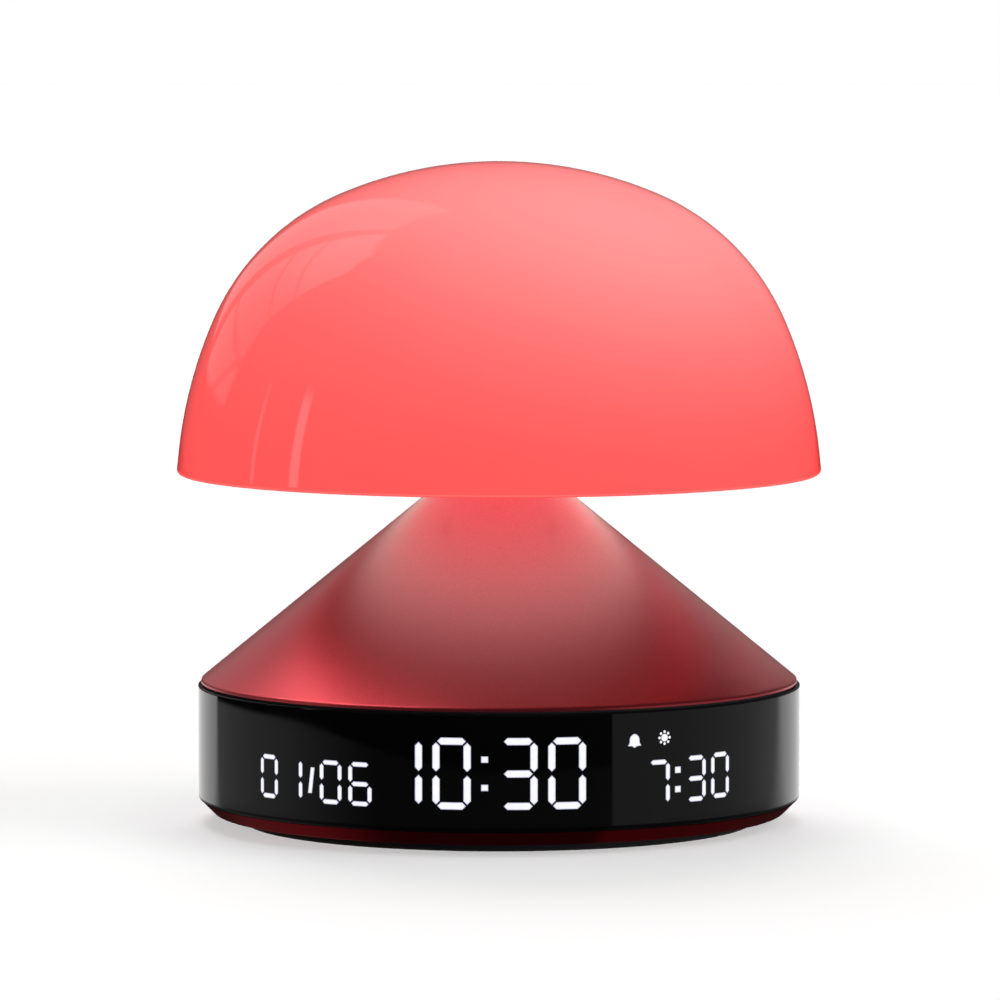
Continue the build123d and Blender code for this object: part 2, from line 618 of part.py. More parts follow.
with BuildPart() as stem_bush:
    cylinder(Plane.XY.offset(BUSH_Z), [(0, 0)], BUSH_R, BUSH_LENGTH)
    cylinder(Plane.XY.offset(TOWER_TOP), [(0, 0)], BUSH_FLANGE_R, BUSH_FLANGE)
    with BuildSketch(Plane.XY.offset(BUSH_Z)) as bush_bore:
        Circle(STEM_R + RUN)
        Rectangle(2 * BUSH_R, 2 * (STEM_FLAT + RUN), mode=Mode.INTERSECT)
    extrude(bush_bore.sketch, amount=BUSH_LENGTH + BUSH_FLANGE, mode=Mode.SUBTRACT)
finish(stem_bush, "stem_bush")

with BuildPart() as stem_clip:
    with BuildSketch(Plane.XY.offset(CLIP_Z)) as clip_outline:
        Circle(CLIP_R)
        Circle(CLIP_GROOVE + RUN, mode=Mode.SUBTRACT)
        with Locations((-CLIP_R, 0)):
            Rectangle(2 * CLIP_R, CLIP_MOUTH, mode=Mode.SUBTRACT)
    extrude(clip_outline.sketch, amount=CLIP_WALL)
finish(stem_clip, "stem_clip")

with BuildPart() as return_spring:
    wire_rise = SPRING_LENGTH - SPRING_WIRE - 2 * FIT
    spring_z = BUSH_TOP + SPRING_WIRE / 2 + FIT
    with BuildLine() as coil:
        Helix(wire_rise / SPRING_TURNS, wire_rise, SPRING_R, center=(0, 0, spring_z))
    with BuildSketch(Plane(origin=coil.line @ 0, z_dir=coil.line % 0)) as wire:
        RegularPolygon(SPRING_WIRE / 2, 6)
    sweep(wire.sketch, path=coil.line, is_frenet=True)
finish(return_spring, "return_spring")

# ---- head: light engine -------------------------------------------------------------------------

with BuildPart() as light_carrier:
    ring(UNDER_TOP, CARRIER_R + CARRIER_FOOT, CARRIER_R - CARRIER_WALL, CARRIER_WALL)
    ring(UNDER_TOP, CARRIER_R, CARRIER_R - CARRIER_WALL, CARRIER_HEIGHT)
    ring(CARRIER_TOP - CARRIER_WALL, CARRIER_R, LEAD_PASS, CARRIER_WALL)
    pilot = SMALL_SHANK_R + PILOT
    cylinder(Plane.XY.offset(UNDER_TOP), CARRIER_SCREWS, pilot, CARRIER_WALL, mode=Mode.SUBTRACT)
    led_screws = polar(LED_RING - LED_WIDTH - SMALL_HEAD_R, 3, start=30)
    cylinder(
        Plane.XY.offset(CARRIER_TOP - CARRIER_WALL), led_screws, pilot, CARRIER_WALL, mode=Mode.SUBTRACT
    )
finish(light_carrier, "light_carrier")

with BuildPart() as led_board:
    cylinder(Plane.XY.offset(CARRIER_TOP), [(0, 0)], LED_BOARD_R, BOARD)
    cylinder(Plane.XY.offset(CARRIER_TOP), led_screws, SMALL_SHANK_R + PILOT, BOARD, mode=Mode.SUBTRACT)
finish(led_board, "led_board")

with BuildPart() as leds:
    with BuildSketch(Plane.XY.offset(LED_BOARD_TOP)) as led_outlines:
        with PolarLocations(LED_RING, LEDS):
            Rectangle(LED_WIDTH, LED_WIDTH)
    extrude(led_outlines.sketch, amount=LED_HEIGHT)
finish(leds, "leds")

with BuildPart() as head_screws:
    small_screws(Plane.XY.offset(UNDER_TOP + STEM_FLANGE), STEM_SCREWS)
    small_screws(Plane.XY.offset(UNDER_TOP + CARRIER_WALL), CARRIER_SCREWS, UNDER_WALL + CARRIER_WALL)
    small_screws(Plane.XY.offset(LED_BOARD_TOP), led_screws, BOARD + CARRIER_WALL)
finish(head_screws, "head_screws")

# ---- head switch and lead -----------------------------------------------------------------------

with BuildPart() as switch_board:
    cylinder(Plane.XY.offset(DECK_Z - BOARD), [(0, 0)], SWITCH_BOARD_R, BOARD)
    # Notch that lets the lead pass
    notch = LEAD_R + SOFT
    notch_at = (LEAD_REACH + SWITCH_BOARD_R) / 2
    notch_size = (SWITCH_BOARD_R - LEAD_REACH + 2 * notch, 2 * notch)
    box(DECK_Z - BOARD, (notch_at, 0), notch_size, BOARD, mode=Mode.SUBTRACT)
    cylinder(Plane.XY.offset(DECK_Z - BOARD), switch_screws, SMALL_SHANK_R + PILOT, BOARD, mode=Mode.SUBTRACT)
finish(switch_board, "switch_board")

with BuildPart() as head_switch:
    box(DECK_Z, (0, 0), (SWITCH_WIDTH, SWITCH_WIDTH), SWITCH_HEIGHT)
    cylinder(
        Plane.XY.offset(DECK_Z), [(0, 0)], SWITCH_PLUNGER_R + RUN, SWITCH_HEIGHT, mode=Mode.SUBTRACT
    )
finish(head_switch, "head_switch")

with BuildPart() as head_switch_plunger:
    cylinder(Plane.XY.offset(STEM_Z), [(0, 0)], SWITCH_PLUNGER_R, -SWITCH_PLUNGER)
finish(head_switch_plunger, "head_switch_plunger")

with BuildPart() as head_lead:
    # From the LED board down the stem, out of its window and down beside the switch to the main board
    turn_z = WINDOW_Z + WINDOW_HEIGHT + LEAD_ENTRY
    with BuildLine() as lead_route:
        FilletPolyline(
            (0, 0, CARRIER_TOP),
            (0, 0, turn_z),
            (LEAD_REACH, 0, turn_z - LEAD_REACH),
            (LEAD_REACH, 0, LEAD_END),
            radius=LEAD_BEND,
        )
    with BuildSketch(Plane(origin=lead_route.line @ 0, z_dir=(0, 0, -1))) as lead_section:
        Circle(LEAD_R)
    sweep(lead_section.sketch, path=lead_route.line)
finish(head_lead, "head_lead")

# ---- display modules ----------------------------------------------------------------------------

MODULE_FACE = BAND_BORE - MODULE_GAP
MODULE_BACK = MODULE_FACE - MODULE_DEPTH
MODULE_Z = DECK_Z - MODULE_HEIGHT


def on_arc(u):
    """Level place on a module's plane of a point u round the band from the module's middle."""
    return MODULE_FACE * sin(u / MODULE_FACE)


def segment(u, z, length, stroke, upright):
    """A six-sided segment with mitred ends, centred on u and z."""
    half = length / 2
    tip = stroke / 2
    straight = half - tip
    outline = [(-half, 0), (-straight, tip), (straight, tip), (half, 0), (straight, -tip), (-straight, -tip)]
    if upright:
        outline = [(-b, a) for a, b in outline]
    Polygon(*[(on_arc(u + a), z + b) for a, b in outline], align=None)


def digit(u, z, size, stroke_up, stroke_across):
    """The seven segments of one digit."""
    width, height = size
    across = (width - stroke_up) / 2
    rise = (height - stroke_across) / 2
    reach = width - stroke_up - SEGMENT_GAP
    climb = rise - SEGMENT_GAP
    for level in (-rise, 0, rise):
        segment(u, z + level, reach, stroke_across, upright=False)
    for side in (-across, across):
        for level in (-rise / 2, rise / 2):
            segment(u + side, z + level, climb, stroke_up, upright=True)


def colon(z, shape):
    """Two squares over each other at the module's middle."""
    width, height, spacing = shape
    with Locations((0, z - spacing), (0, z + spacing)):
        Rectangle(width, height)


def time_windows():
    for offset_deg in TIME_ANGLES:
        digit(radians(offset_deg) * MODULE_FACE, DIGIT_LEVEL, TIME_DIGIT, STROKE_UP, STROKE_ACROSS)
    colon(DIGIT_LEVEL, TIME_COLON)


def date_windows():
    for offset_deg in DATE_ANGLES:
        digit(radians(offset_deg) * MODULE_FACE, DATE_LEVEL, DATE_DIGIT, SMALL_STROKE, SMALL_STROKE)
    width, height, lean = SLASH
    low = DATE_LEVEL - height / 2
    high = DATE_LEVEL + height / 2
    Polygon((-lean, low), (width - lean, low), (lean, high), (lean - width, high), align=None)


def alarm_windows():
    for offset_deg in ALARM_ANGLES:
        digit(radians(offset_deg) * MODULE_FACE, ALARM_LEVEL, ALARM_DIGIT, SMALL_STROKE, SMALL_STROKE)
    colon(ALARM_LEVEL, ALARM_COLON)
    # Sun icon: a disc with rays round it. Bell icon: a dome over a wide foot.
    sun_x = on_arc(radians(SUN_ANGLE) * MODULE_FACE)
    with Locations((sun_x, ICON_LEVEL)):
        RegularPolygon(SUN_WIDTH / 4, 8)
        with PolarLocations(SUN_WIDTH / 2 - SUN_WIDTH / 10, 8):
            RegularPolygon(SUN_WIDTH / 10, 4)
    bell_x = on_arc(radians(BELL_ANGLE) * MODULE_FACE)
    half = BELL_WIDTH / 2
    foot = half / 2
    outline = [(-half, -foot), (half, -foot), (foot, 0), (foot, foot), (0, half), (-foot, foot), (-foot, 0)]
    Polygon(*[(bell_x + a, ICON_LEVEL + b) for a, b in outline], align=None)


def display_module(name, middle, span, windows):
    """Reflector block, light pipes and board of one display, turned to its place round the band."""
    to_place = Rotation(0, 0, middle)
    half = radians(span - MODULE_EDGE_ANGLE)
    back = Plane(origin=(0, -MODULE_BACK, 0), x_dir=(1, 0, 0), z_dir=(0, -1, 0))
    with BuildSketch(back) as wells:
        windows()

    with BuildPart() as reflector:
        with BuildSketch(Plane.XY.offset(MODULE_Z)):
            with BuildLine():
                back_x = MODULE_BACK * tan(half)
                face = (MODULE_FACE * sin(half), -MODULE_FACE * cos(half))
                Polyline((-face[0], face[1]), (-back_x, -MODULE_BACK), (back_x, -MODULE_BACK), face)
                ThreePointArc(face, (0, -MODULE_FACE), (-face[0], face[1]))
            make_face()
        extrude(amount=MODULE_HEIGHT)
        extrude(wells.sketch, amount=MODULE_FACE - MODULE_BACK, mode=Mode.SUBTRACT)
    reflector.part = to_place * reflector.part
    finish(reflector, f"{name}_reflector")

    with BuildPart() as segments:
        extrude(wells.sketch, amount=MODULE_FACE - MODULE_BACK)
        cylinder(Plane.XY.offset(MODULE_Z), [(0, 0)], MODULE_FACE, MODULE_HEIGHT, mode=Mode.INTERSECT)
    segments.part = to_place * segments.part
    finish(segments, f"{name}_segments")

    with BuildPart() as board:
        half_board = (MODULE_BACK - BOARD) * tan(half) - MODULE_BOARD_INSET
        center = (0, -MODULE_BACK + BOARD / 2)
        box(MODULE_Z, center, (2 * half_board, BOARD), MODULE_HEIGHT)
    board.part = to_place * board.part
    finish(board, f"{name}_board")


display_module("date", DATE_TURN_ANGLE, DATE_HALF_ANGLE, date_windows)
display_module("time", TIME_TURN_ANGLE, TIME_HALF_ANGLE, time_windows)
display_module("alarm", ALARM_TURN_ANGLE, ALARM_HALF_ANGLE, alarm_windows)

# ---- main board, battery and speaker ------------------------------------------------------------

with BuildPart() as main_board:
    box(MAIN_BOARD_Z, MAIN_BOARD_AT, MAIN_BOARD, BOARD)
    cylinder(Plane.XY.offset(MAIN_BOARD_Z), MAIN_SCREWS, SMALL_SHANK_R + PILOT, BOARD, mode=Mode.SUBTRACT)
finish(main_board, "main_board")

with BuildPart() as main_chips:
    for x, y, size in CHIPS.values():
        box(MAIN_BOARD_TOP, (x, y), (size, size), CHIP_HEIGHT)
finish(main_chips, "main_chips")

battery_plug = (BATTERY_PLUG_X, MAIN_BOARD_AT[1] - MAIN_BOARD[1] / 2 + CONNECTOR[1] / 2)
speaker_plug = (LEAD_REACH, SPEAKER_PLUG_Y)

with BuildPart() as main_connectors:
    for place in ((LEAD_REACH, 0), battery_plug, speaker_plug, PORT_PLUG):
        box(MAIN_BOARD_TOP, place, CONNECTOR[:2], CONNECTOR[2])
finish(main_connectors, "main_connectors")

holder_width = 2 * (CELL_R + FIT + HOLDER_WALL)
along_x = Plane(origin=(-CELL_LENGTH / 2, CELL_AT, CELL_Z), x_dir=(0, 1, 0), z_dir=(1, 0, 0))

with BuildPart() as battery_holder:
    box(FLOOR_Z, (0, CELL_AT), (CELL_LENGTH + 2 * (FIT + HOLDER_WALL), holder_width), HOLDER_RISE)
    cylinder(along_x.offset(-FIT), [(0, 0)], CELL_R + FIT, CELL_LENGTH + 2 * FIT, mode=Mode.SUBTRACT)
finish(battery_holder, "battery_holder")

with BuildPart() as battery_cell:
    cylinder(along_x, [(0, 0)], CELL_R, CELL_LENGTH)
finish(battery_cell, "battery_cell")

with BuildPart() as battery_lead:
    # Two wires from the holder to their plug
    holder_side = CELL_AT + holder_width / 2
    wire_z = FLOOR_Z + HOLDER_RISE - WIRE_PITCH
    wires = [(-BATTERY_PLUG_X - WIRE_PITCH / 2, wire_z), (-BATTERY_PLUG_X + WIRE_PITCH / 2, wire_z)]
    cylinder(facing_rear(holder_side), wires, WIRE_R, battery_plug[1] - CONNECTOR[1] / 2 - holder_side)
finish(battery_lead, "battery_lead")

SPEAKER_Z = FLOOR_Z + GASKET
speaker_axis = Axis((*SPEAKER_AT, 0), (0, 0, 1))
speaker_plane = Plane(origin=(*SPEAKER_AT, 0), x_dir=(1, 0, 0), z_dir=(0, -1, 0))
speaker_bore = SPEAKER_R - SPEAKER_RIM
basket_top = SPEAKER_Z + SPEAKER_DEPTH

with BuildPart() as speaker_gasket:
    with BuildSketch(Plane.XY.offset(FLOOR_Z)):
        with Locations(SPEAKER_AT):
            Circle(SPEAKER_R)
            Circle(speaker_bore, mode=Mode.SUBTRACT)
    extrude(amount=GASKET)
finish(speaker_gasket, "speaker_gasket")

with BuildPart() as speaker_frame:
    with BuildSketch(speaker_plane):
        with BuildLine():
            Polyline(
                (speaker_bore, SPEAKER_Z),
                (SPEAKER_R, SPEAKER_Z),
                (SPEAKER_R, SPEAKER_Z + SPEAKER_WALL),
                (speaker_bore + SPEAKER_WALL, SPEAKER_Z + SPEAKER_WALL),
                (MAGNET_R + SPEAKER_WALL, basket_top),
                (0, basket_top),
                (0, basket_top - SPEAKER_WALL),
                (MAGNET_R, basket_top - SPEAKER_WALL),
                (speaker_bore, SPEAKER_Z + SPEAKER_WALL),
                close=True,
            )
        make_face()
    revolve(axis=speaker_axis)
finish(speaker_frame, "speaker_frame")

with BuildPart() as speaker_cone:
    cap_r = speaker_bore / 3
    cone_drop = SPEAKER_DEPTH / 2
    with BuildSketch(speaker_plane):
        with BuildLine():
            Polyline(
                (speaker_bore, SPEAKER_Z),
                (speaker_bore, SPEAKER_Z + CONE_PAPER),
                (cap_r, SPEAKER_Z + cone_drop + CONE_PAPER),
                (0, SPEAKER_Z + cone_drop + CONE_PAPER),
                (0, SPEAKER_Z + cone_drop),
                (cap_r, SPEAKER_Z + cone_drop),
                close=True,
            )
        make_face()
    revolve(axis=speaker_axis)
finish(speaker_cone, "speaker_cone")

with BuildPart() as speaker_magnet:
    cylinder(Plane.XY.offset(basket_top), [SPEAKER_AT], MAGNET_R, MAGNET_HEIGHT)
finish(speaker_magnet, "speaker_magnet")

with BuildPart() as speaker_lead:
    # From the speaker's rim up to its plug on the main board
    rim_x = SPEAKER_AT[0] + SPEAKER_R
    plug_x = speaker_plug[0] - CONNECTOR[0] / 2
    low_z = SPEAKER_Z + SPEAKER_WALL + WIRE_R
    high_z = LEAD_END - WIRE_PITCH
    run = (plug_x - rim_x) / 3
    with BuildLine() as speaker_route:
        FilletPolyline(
            (rim_x - SPEAKER_RIM / 2, SPEAKER_PLUG_Y, low_z),
            (rim_x + run, SPEAKER_PLUG_Y, low_z),
            (plug_x - run, SPEAKER_PLUG_Y, high_z),
            (plug_x, SPEAKER_PLUG_Y, high_z),
            radius=WIRE_PITCH,
        )
    with BuildSketch(Plane(origin=speaker_route.line @ 0, z_dir=(1, 0, 0))) as speaker_wire:
        Circle(WIRE_R)
    sweep(speaker_wire.sketch, path=speaker_route.line)
finish(speaker_lead, "speaker_lead")

# ---- power inlet --------------------------------------------------------------------------------

with BuildPart() as port_board:
    port_middle = INLET_FACE - UNDER_RECESS - PORT_BOARD[1] / 2
    box(PORT_BOARD_Z, (0, port_middle), PORT_BOARD, BOARD)
    cylinder(Plane.XY.offset(PORT_BOARD_Z), PORT_SCREWS, SMALL_SHANK_R + PILOT, BOARD, mode=Mode.SUBTRACT)
finish(port_board, "port_board")

with BuildPart() as power_inlet:
    mouth = facing_rear(INLET_FACE)
    with BuildSketch(mouth) as inlet_outline:
        with Locations((0, PORT_LEVEL)):
            SlotOverall(INLET_WIDTH, INLET_HEIGHT)
    extrude(inlet_outline.sketch, amount=-INLET_DEPTH)
    with BuildSketch(mouth) as inlet_hollow:
        with Locations((0, PORT_LEVEL)):
            SlotOverall(INLET_WIDTH - 2 * INLET_WALL, INLET_HEIGHT - 2 * INLET_WALL)
    extrude(inlet_hollow.sketch, amount=INLET_BACK - INLET_DEPTH, mode=Mode.SUBTRACT)
    with BuildSketch(facing_rear(INLET_FACE - INLET_DEPTH)) as tongue:
        with Locations((0, PORT_LEVEL)):
            Rectangle(*TONGUE[:2])
    extrude(tongue.sketch, amount=INLET_BACK + TONGUE[2])
finish(power_inlet, "power_inlet")

with BuildPart() as port_lead:
    # From the port board's edge down to its plug on the main board
    board_side = PORT_BOARD[0] / 2
    wire_z = PORT_BOARD_Z + BOARD / 2
    with BuildLine() as port_route:
        FilletPolyline(
            (board_side, PORT_SCREW_Y, wire_z),
            (PORT_PLUG[0], PORT_SCREW_Y, wire_z),
            (PORT_PLUG[0], PORT_PLUG[1] + CONNECTOR[1] / 2, wire_z),
            radius=3 * WIRE_PITCH,
        )
    with BuildSketch(Plane(origin=port_route.line @ 0, z_dir=(1, 0, 0))) as port_wire:
        Circle(WIRE_R)
    sweep(port_wire.sketch, path=port_route.line)
finish(port_lead, "port_lead")

# ---- rear keys, their switches and board --------------------------------------------------------

TACTS = [(-x, KEY_LEVEL) for x in KEY_XS]

with BuildPart() as key_board:
    box(KEY_LEVEL - KEY_BOARD[1] / 2, (0, KEY_BOARD_FACE - BOARD / 2), (KEY_BOARD[0], BOARD), KEY_BOARD[1])
    cylinder(facing_rear(KEY_BOARD_FACE), bracket_screws, SMALL_SHANK_R + PILOT, -BOARD, mode=Mode.SUBTRACT)
finish(key_board, "key_board")

with BuildPart() as tact_switches:
    with BuildSketch(facing_rear(KEY_BOARD_FACE)) as tact_outlines:
        with Locations(*TACTS):
            Rectangle(TACT_WIDTH, TACT_WIDTH)
    extrude(tact_outlines.sketch, amount=TACT_HEIGHT)
    tact_bore = TACT_PLUNGER - TACT_PROUD + KEY_TRAVEL + TACT_SPARE
    cylinder(facing_rear(TACT_FACE), TACTS, TACT_PLUNGER_R + RUN, -tact_bore, mode=Mode.SUBTRACT)
finish(tact_switches, "tact_switches")


def rear_key(name, x):
    """A key with its flange behind the band and its post, and the switch plunger that it works."""
    flange_r = BAND_BORE - FIT
    flange_side = abs(x) + KEY_WIDTH / 2 + KEY_FLANGE
    flange_back = sqrt(flange_r**2 - flange_side**2) - KEY_FLANGE_WALL
    depth = BAND_R + KEY_PROUD - flange_back

    with BuildPart() as key:
        with BuildSketch(Plane.XY.offset(KEY_LEVEL - KEY_HEIGHT / 2)):
            with Locations((x, flange_back + depth / 2)):
                Rectangle(KEY_WIDTH, depth)
            Circle(BAND_R + KEY_PROUD, mode=Mode.INTERSECT)
        extrude(amount=KEY_HEIGHT)
        fillet(key.edges().filter_by(Axis.Y), KEY_ROUND)
        with BuildSketch(Plane.XY.offset(KEY_LEVEL - KEY_HEIGHT / 2 - KEY_FLANGE)) as flange:
            with Locations((x, flange_back + depth / 2)):
                Rectangle(KEY_WIDTH + 2 * KEY_FLANGE, depth)
            Circle(flange_r, mode=Mode.INTERSECT)
        extrude(amount=KEY_HEIGHT + 2 * KEY_FLANGE)
        cylinder(facing_rear(PLUNGER_FACE), [(-x, KEY_LEVEL)], KEY_POST_R, flange_back - PLUNGER_FACE)
    finish(key, name)

    with BuildPart() as plunger:
        cylinder(facing_rear(PLUNGER_FACE), [(-x, KEY_LEVEL)], TACT_PLUNGER_R, -TACT_PLUNGER)
    finish(plunger, f"{name}_plunger")


for key_name, key_x in zip(KEY_NAMES, KEY_XS):
    rear_key(key_name, key_x)

with BuildPart() as board_screws:
    small_screws(Plane.XY.offset(MAIN_BOARD_TOP), MAIN_SCREWS)
    small_screws(Plane.XY.offset(PORT_BOARD_Z + BOARD), PORT_SCREWS)
    small_screws(facing_rear(KEY_BOARD_FACE), bracket_screws)
    facing_down = Plane(origin=(0, 0, DECK_Z - BOARD), x_dir=(1, 0, 0), z_dir=(0, 0, -1))
    small_screws(facing_down, switch_screws)
finish(board_screws, "board_screws")
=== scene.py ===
# %% [markdown]
# Sunrise alarm clock. A glossy opal dome floats over a satin red cone, and the cone stands on a black display
# band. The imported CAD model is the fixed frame: this lesson adds the surfaces, the lit display and a small
# studio. All lengths below are written in millimetres and turned into metres by one factor.

# %% Load the frame
from math import acos, asin, atan2, cos, pi, radians, sin, sqrt, tan

import bmesh
import bpy
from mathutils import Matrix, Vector


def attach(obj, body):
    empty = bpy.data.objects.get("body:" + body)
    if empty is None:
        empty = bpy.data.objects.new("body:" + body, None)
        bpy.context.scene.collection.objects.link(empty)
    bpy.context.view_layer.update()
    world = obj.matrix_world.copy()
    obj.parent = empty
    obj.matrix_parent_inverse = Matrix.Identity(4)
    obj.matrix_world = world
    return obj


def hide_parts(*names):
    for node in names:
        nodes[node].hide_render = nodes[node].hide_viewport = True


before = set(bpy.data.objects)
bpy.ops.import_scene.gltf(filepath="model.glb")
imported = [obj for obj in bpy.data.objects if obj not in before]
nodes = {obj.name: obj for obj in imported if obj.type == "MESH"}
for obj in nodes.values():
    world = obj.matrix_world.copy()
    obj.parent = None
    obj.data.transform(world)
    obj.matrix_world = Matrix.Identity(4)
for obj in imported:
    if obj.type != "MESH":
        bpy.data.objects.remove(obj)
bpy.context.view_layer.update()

MM = 0.001

# %% [markdown]
# Camera first, because it decides how much detail each piece needs. A long lens from nearly two metres away
# keeps the round band flat and calm, and a slight tilt shows the front of the band without the top of the
# dome.

# %% Camera
CAMERA_AT, CAMERA_TILT = (0.232, -1862.9, 225.0), 85.399      # the tilt is in degrees from straight down
LENS, SENSOR = 288.7, 36
ROOM = 50                                                     # metres that the camera sees into

scene = bpy.context.scene
bpy.ops.object.camera_add(location=[v * MM for v in CAMERA_AT], rotation=(radians(CAMERA_TILT), 0, 0))
camera = bpy.context.object
camera.name = "portrait_camera"
camera.data.lens = LENS
camera.data.sensor_width = SENSOR
camera.data.clip_end = ROOM
scene.camera = camera
scene.view_settings.view_transform = "Standard"
print("Camera:", camera.name, "lens", round(camera.data.lens, 1), "mm")

# %% [markdown]
# A material is a sheet of nodes, and most of them only add and multiply. They could be placed one by one, as
# by hand. Here a small class wraps one output socket instead, so that `1 - mask * 0.5` adds its Math nodes by
# itself and the lines below read like the sums they are.

# %% Wire: arithmetic on sockets
class Wire:
    """One output socket. Arithmetic on it adds Math nodes to its material."""

    def __init__(self, finish, socket):
        self.finish = finish
        self.socket = socket

    def __add__(self, other):
        return self.finish.math("ADD", self, other)

    def __sub__(self, other):
        return self.finish.math("SUBTRACT", self, other)

    def __rsub__(self, other):
        return self.finish.math("SUBTRACT", other, self)

    def __mul__(self, other):
        return self.finish.math("MULTIPLY", self, other)

    def __truediv__(self, other):
        return self.finish.math("DIVIDE", self, other)

    def __pow__(self, other):
        return self.finish.math("POWER", self, other)

    def __abs__(self):
        return self.finish.math("ABSOLUTE", self)

    def smooth(self, low, high):
        """0 below low, 1 above high, and a smooth step between them."""
        inputs = {"Value": self, "From Min": low, "From Max": high}
        return self.finish.node("ShaderNodeMapRange", {"interpolation_type": "SMOOTHSTEP"}, inputs)

    __radd__ = __add__
    __rmul__ = __mul__


# %% [markdown]
# Finish is the material itself. Its node() adds any node, and sets the type and settings before the sockets,
# since settings such as a ramp's stops decide what the sockets mean. Every pattern reads Object coordinates,
# which stay with the piece, and its sizes are given in millimetres, so that a grain has the size it has on
# the real part.

# %% Finish: one material
class Finish:
    """A material, or the sky, under construction."""

    def __init__(self, name, shelf=None):
        self.material = (bpy.data.materials if shelf is None else shelf).new(name)
        self.material.use_nodes = True
        self.tree = self.material.node_tree
        self.tree.nodes.clear()
        self.place = self.node("ShaderNodeTexCoord", output="Object")

    def node(self, kind, settings=None, inputs=None, output=0):
        """Adds a node: its settings first, then a value or a Wire for each named input."""
        node = self.tree.nodes.new(kind)
        for name, value in (settings or {}).items():
            if name == "stops":
                for i, (position, colour) in enumerate(value):
                    stop = node.color_ramp.elements[i] if i < 2 else node.color_ramp.elements.new(position)
                    stop.position = position
                    stop.color = (*colour, 1)
            else:
                setattr(node, name, value)
        for name, value in (inputs or {}).items():
            if isinstance(value, Wire):
                self.tree.links.new(value.socket, node.inputs[name])
            elif hasattr(value, "__len__") and len(value) == 3 and node.inputs[name].type == "RGBA":
                node.inputs[name].default_value = (*value, 1)
            else:
                node.inputs[name].default_value = value
        return Wire(self, node.outputs[output])

    def math(self, operation, first, second=0.0):
        return self.node("ShaderNodeMath", {"operation": operation}, {0: first, 1: second})

    def noise(self, size, detail=2.0):
        """Noise whose blobs are about size millimetres across."""
        return self.node("ShaderNodeTexNoise", None, {
            "Vector": self.place, "Scale": 0.5 / (size * MM), "Detail": detail, "Roughness": 0.55})

    def blend(self, factor, first, second):
        """A colour between two, by a factor from 0 to 1."""
        return self.node("ShaderNodeMix", {"data_type": "RGBA"}, {0: factor, 6: first, 7: second}, output=2)

    def ramp(self, factor, *stops):
        return self.node("ShaderNodeValToRGB", {"stops": stops}, {0: factor})

    def bump(self, height, depth):
        """A normal from a height of 0 to 1, depth millimetres deep."""
        return self.node("ShaderNodeBump", None, {"Height": height, "Distance": depth * MM})

    def axis(self, letter):
        """One object coordinate, in millimetres."""
        parts = self.node("ShaderNodeSeparateXYZ", None, {0: self.place}, output="XYZ".index(letter))
        return parts * (1 / MM)

    def radius(self):
        """The distance from the object's upright axis, in millimetres."""
        return (self.axis("X") ** 2.0 + self.axis("Y") ** 2.0) ** 0.5

    def seen_straight(self):
        """1 for rays from the camera, a mirror or glass, and 0 for rays that light things."""
        kinds = ("Camera", "Glossy", "Transmission")
        rays = [self.node("ShaderNodeLightPath", output=f"Is {kind} Ray") for kind in kinds]
        return self.math("MAXIMUM", self.math("MAXIMUM", rays[0], rays[1]), rays[2])

    def surface(self, shader, end="ShaderNodeOutputMaterial"):
        """Links a finished shader to the end of the tree."""
        output = self.tree.nodes.new(end)
        self.tree.links.new(shader.socket, output.inputs["Surface"])
        return self.material

    def principled(self, **inputs):
        """Ends the material with one Principled surface; base_colour stands for Base Color, and so on."""
        named = {key.replace("_", " ").title().replace("Ior", "IOR"): value for key, value in inputs.items()}
        return self.surface(self.node("ShaderNodeBsdfPrincipled", None, named))


def between(value, low, high, soft):
    """1 between two values and 0 outside, with soft edges."""
    return value.smooth(low - soft, low + soft) * (1 - value.smooth(high - soft, high + soft))


# %% [markdown]
# Blender's operators act on all that is selected, so every helper first clears the selection. Edges are then
# picked by a test on their place, which is how a hand with a mouse would pick them.

# %% Selecting and editing
WELD = 0.001      # corners nearer than this, in mm, are one


def leave_edit_mode():
    if bpy.context.object and bpy.context.object.mode == "EDIT":
        bpy.ops.object.mode_set(mode="OBJECT")


def fresh(add, **settings):
    """Adds a primitive, with nothing else selected, and returns it."""
    leave_edit_mode()
    bpy.ops.object.select_all(action="DESELECT")
    add(**settings)
    return bpy.context.object


def work_on(piece, mode="OBJECT"):
    """Makes a piece the only selected one and enters the mode."""
    leave_edit_mode()
    bpy.ops.object.select_all(action="DESELECT")
    piece.select_set(True)
    bpy.context.view_layer.objects.active = piece
    bpy.ops.object.mode_set(mode=mode)


def pick_edges(piece, wanted):
    """Selects the edges whose two ends pass wanted(co), in edit mode."""
    bpy.ops.mesh.select_mode(type="EDGE")
    bpy.ops.mesh.select_all(action="DESELECT")
    sketch = bmesh.from_edit_mesh(piece.data)
    for edge in [e for e in sketch.edges if all(wanted(v.co / MM) for v in e.verts)]:
        edge.select_set(True)
    sketch.select_flush_mode()
    bmesh.update_edit_mesh(piece.data)


def weld():
    """Merges the corners that lie on one another, in edit mode, and leaves everything selected."""
    bpy.ops.mesh.select_all(action="SELECT")
    bpy.ops.mesh.remove_doubles(threshold=WELD * MM)


def soften(piece, angle=30):
    """Smooth shading that keeps edges sharper than the angle."""
    work_on(piece)
    bpy.ops.object.shade_smooth_by_angle(angle=radians(angle))


# %% [markdown]
# Modelling starts from lines. A round shell is drawn as half of its section, one extruded vertex after
# another, and spun about the axis. That is how a turned or moulded part is drawn on paper, and every ring
# stays even.

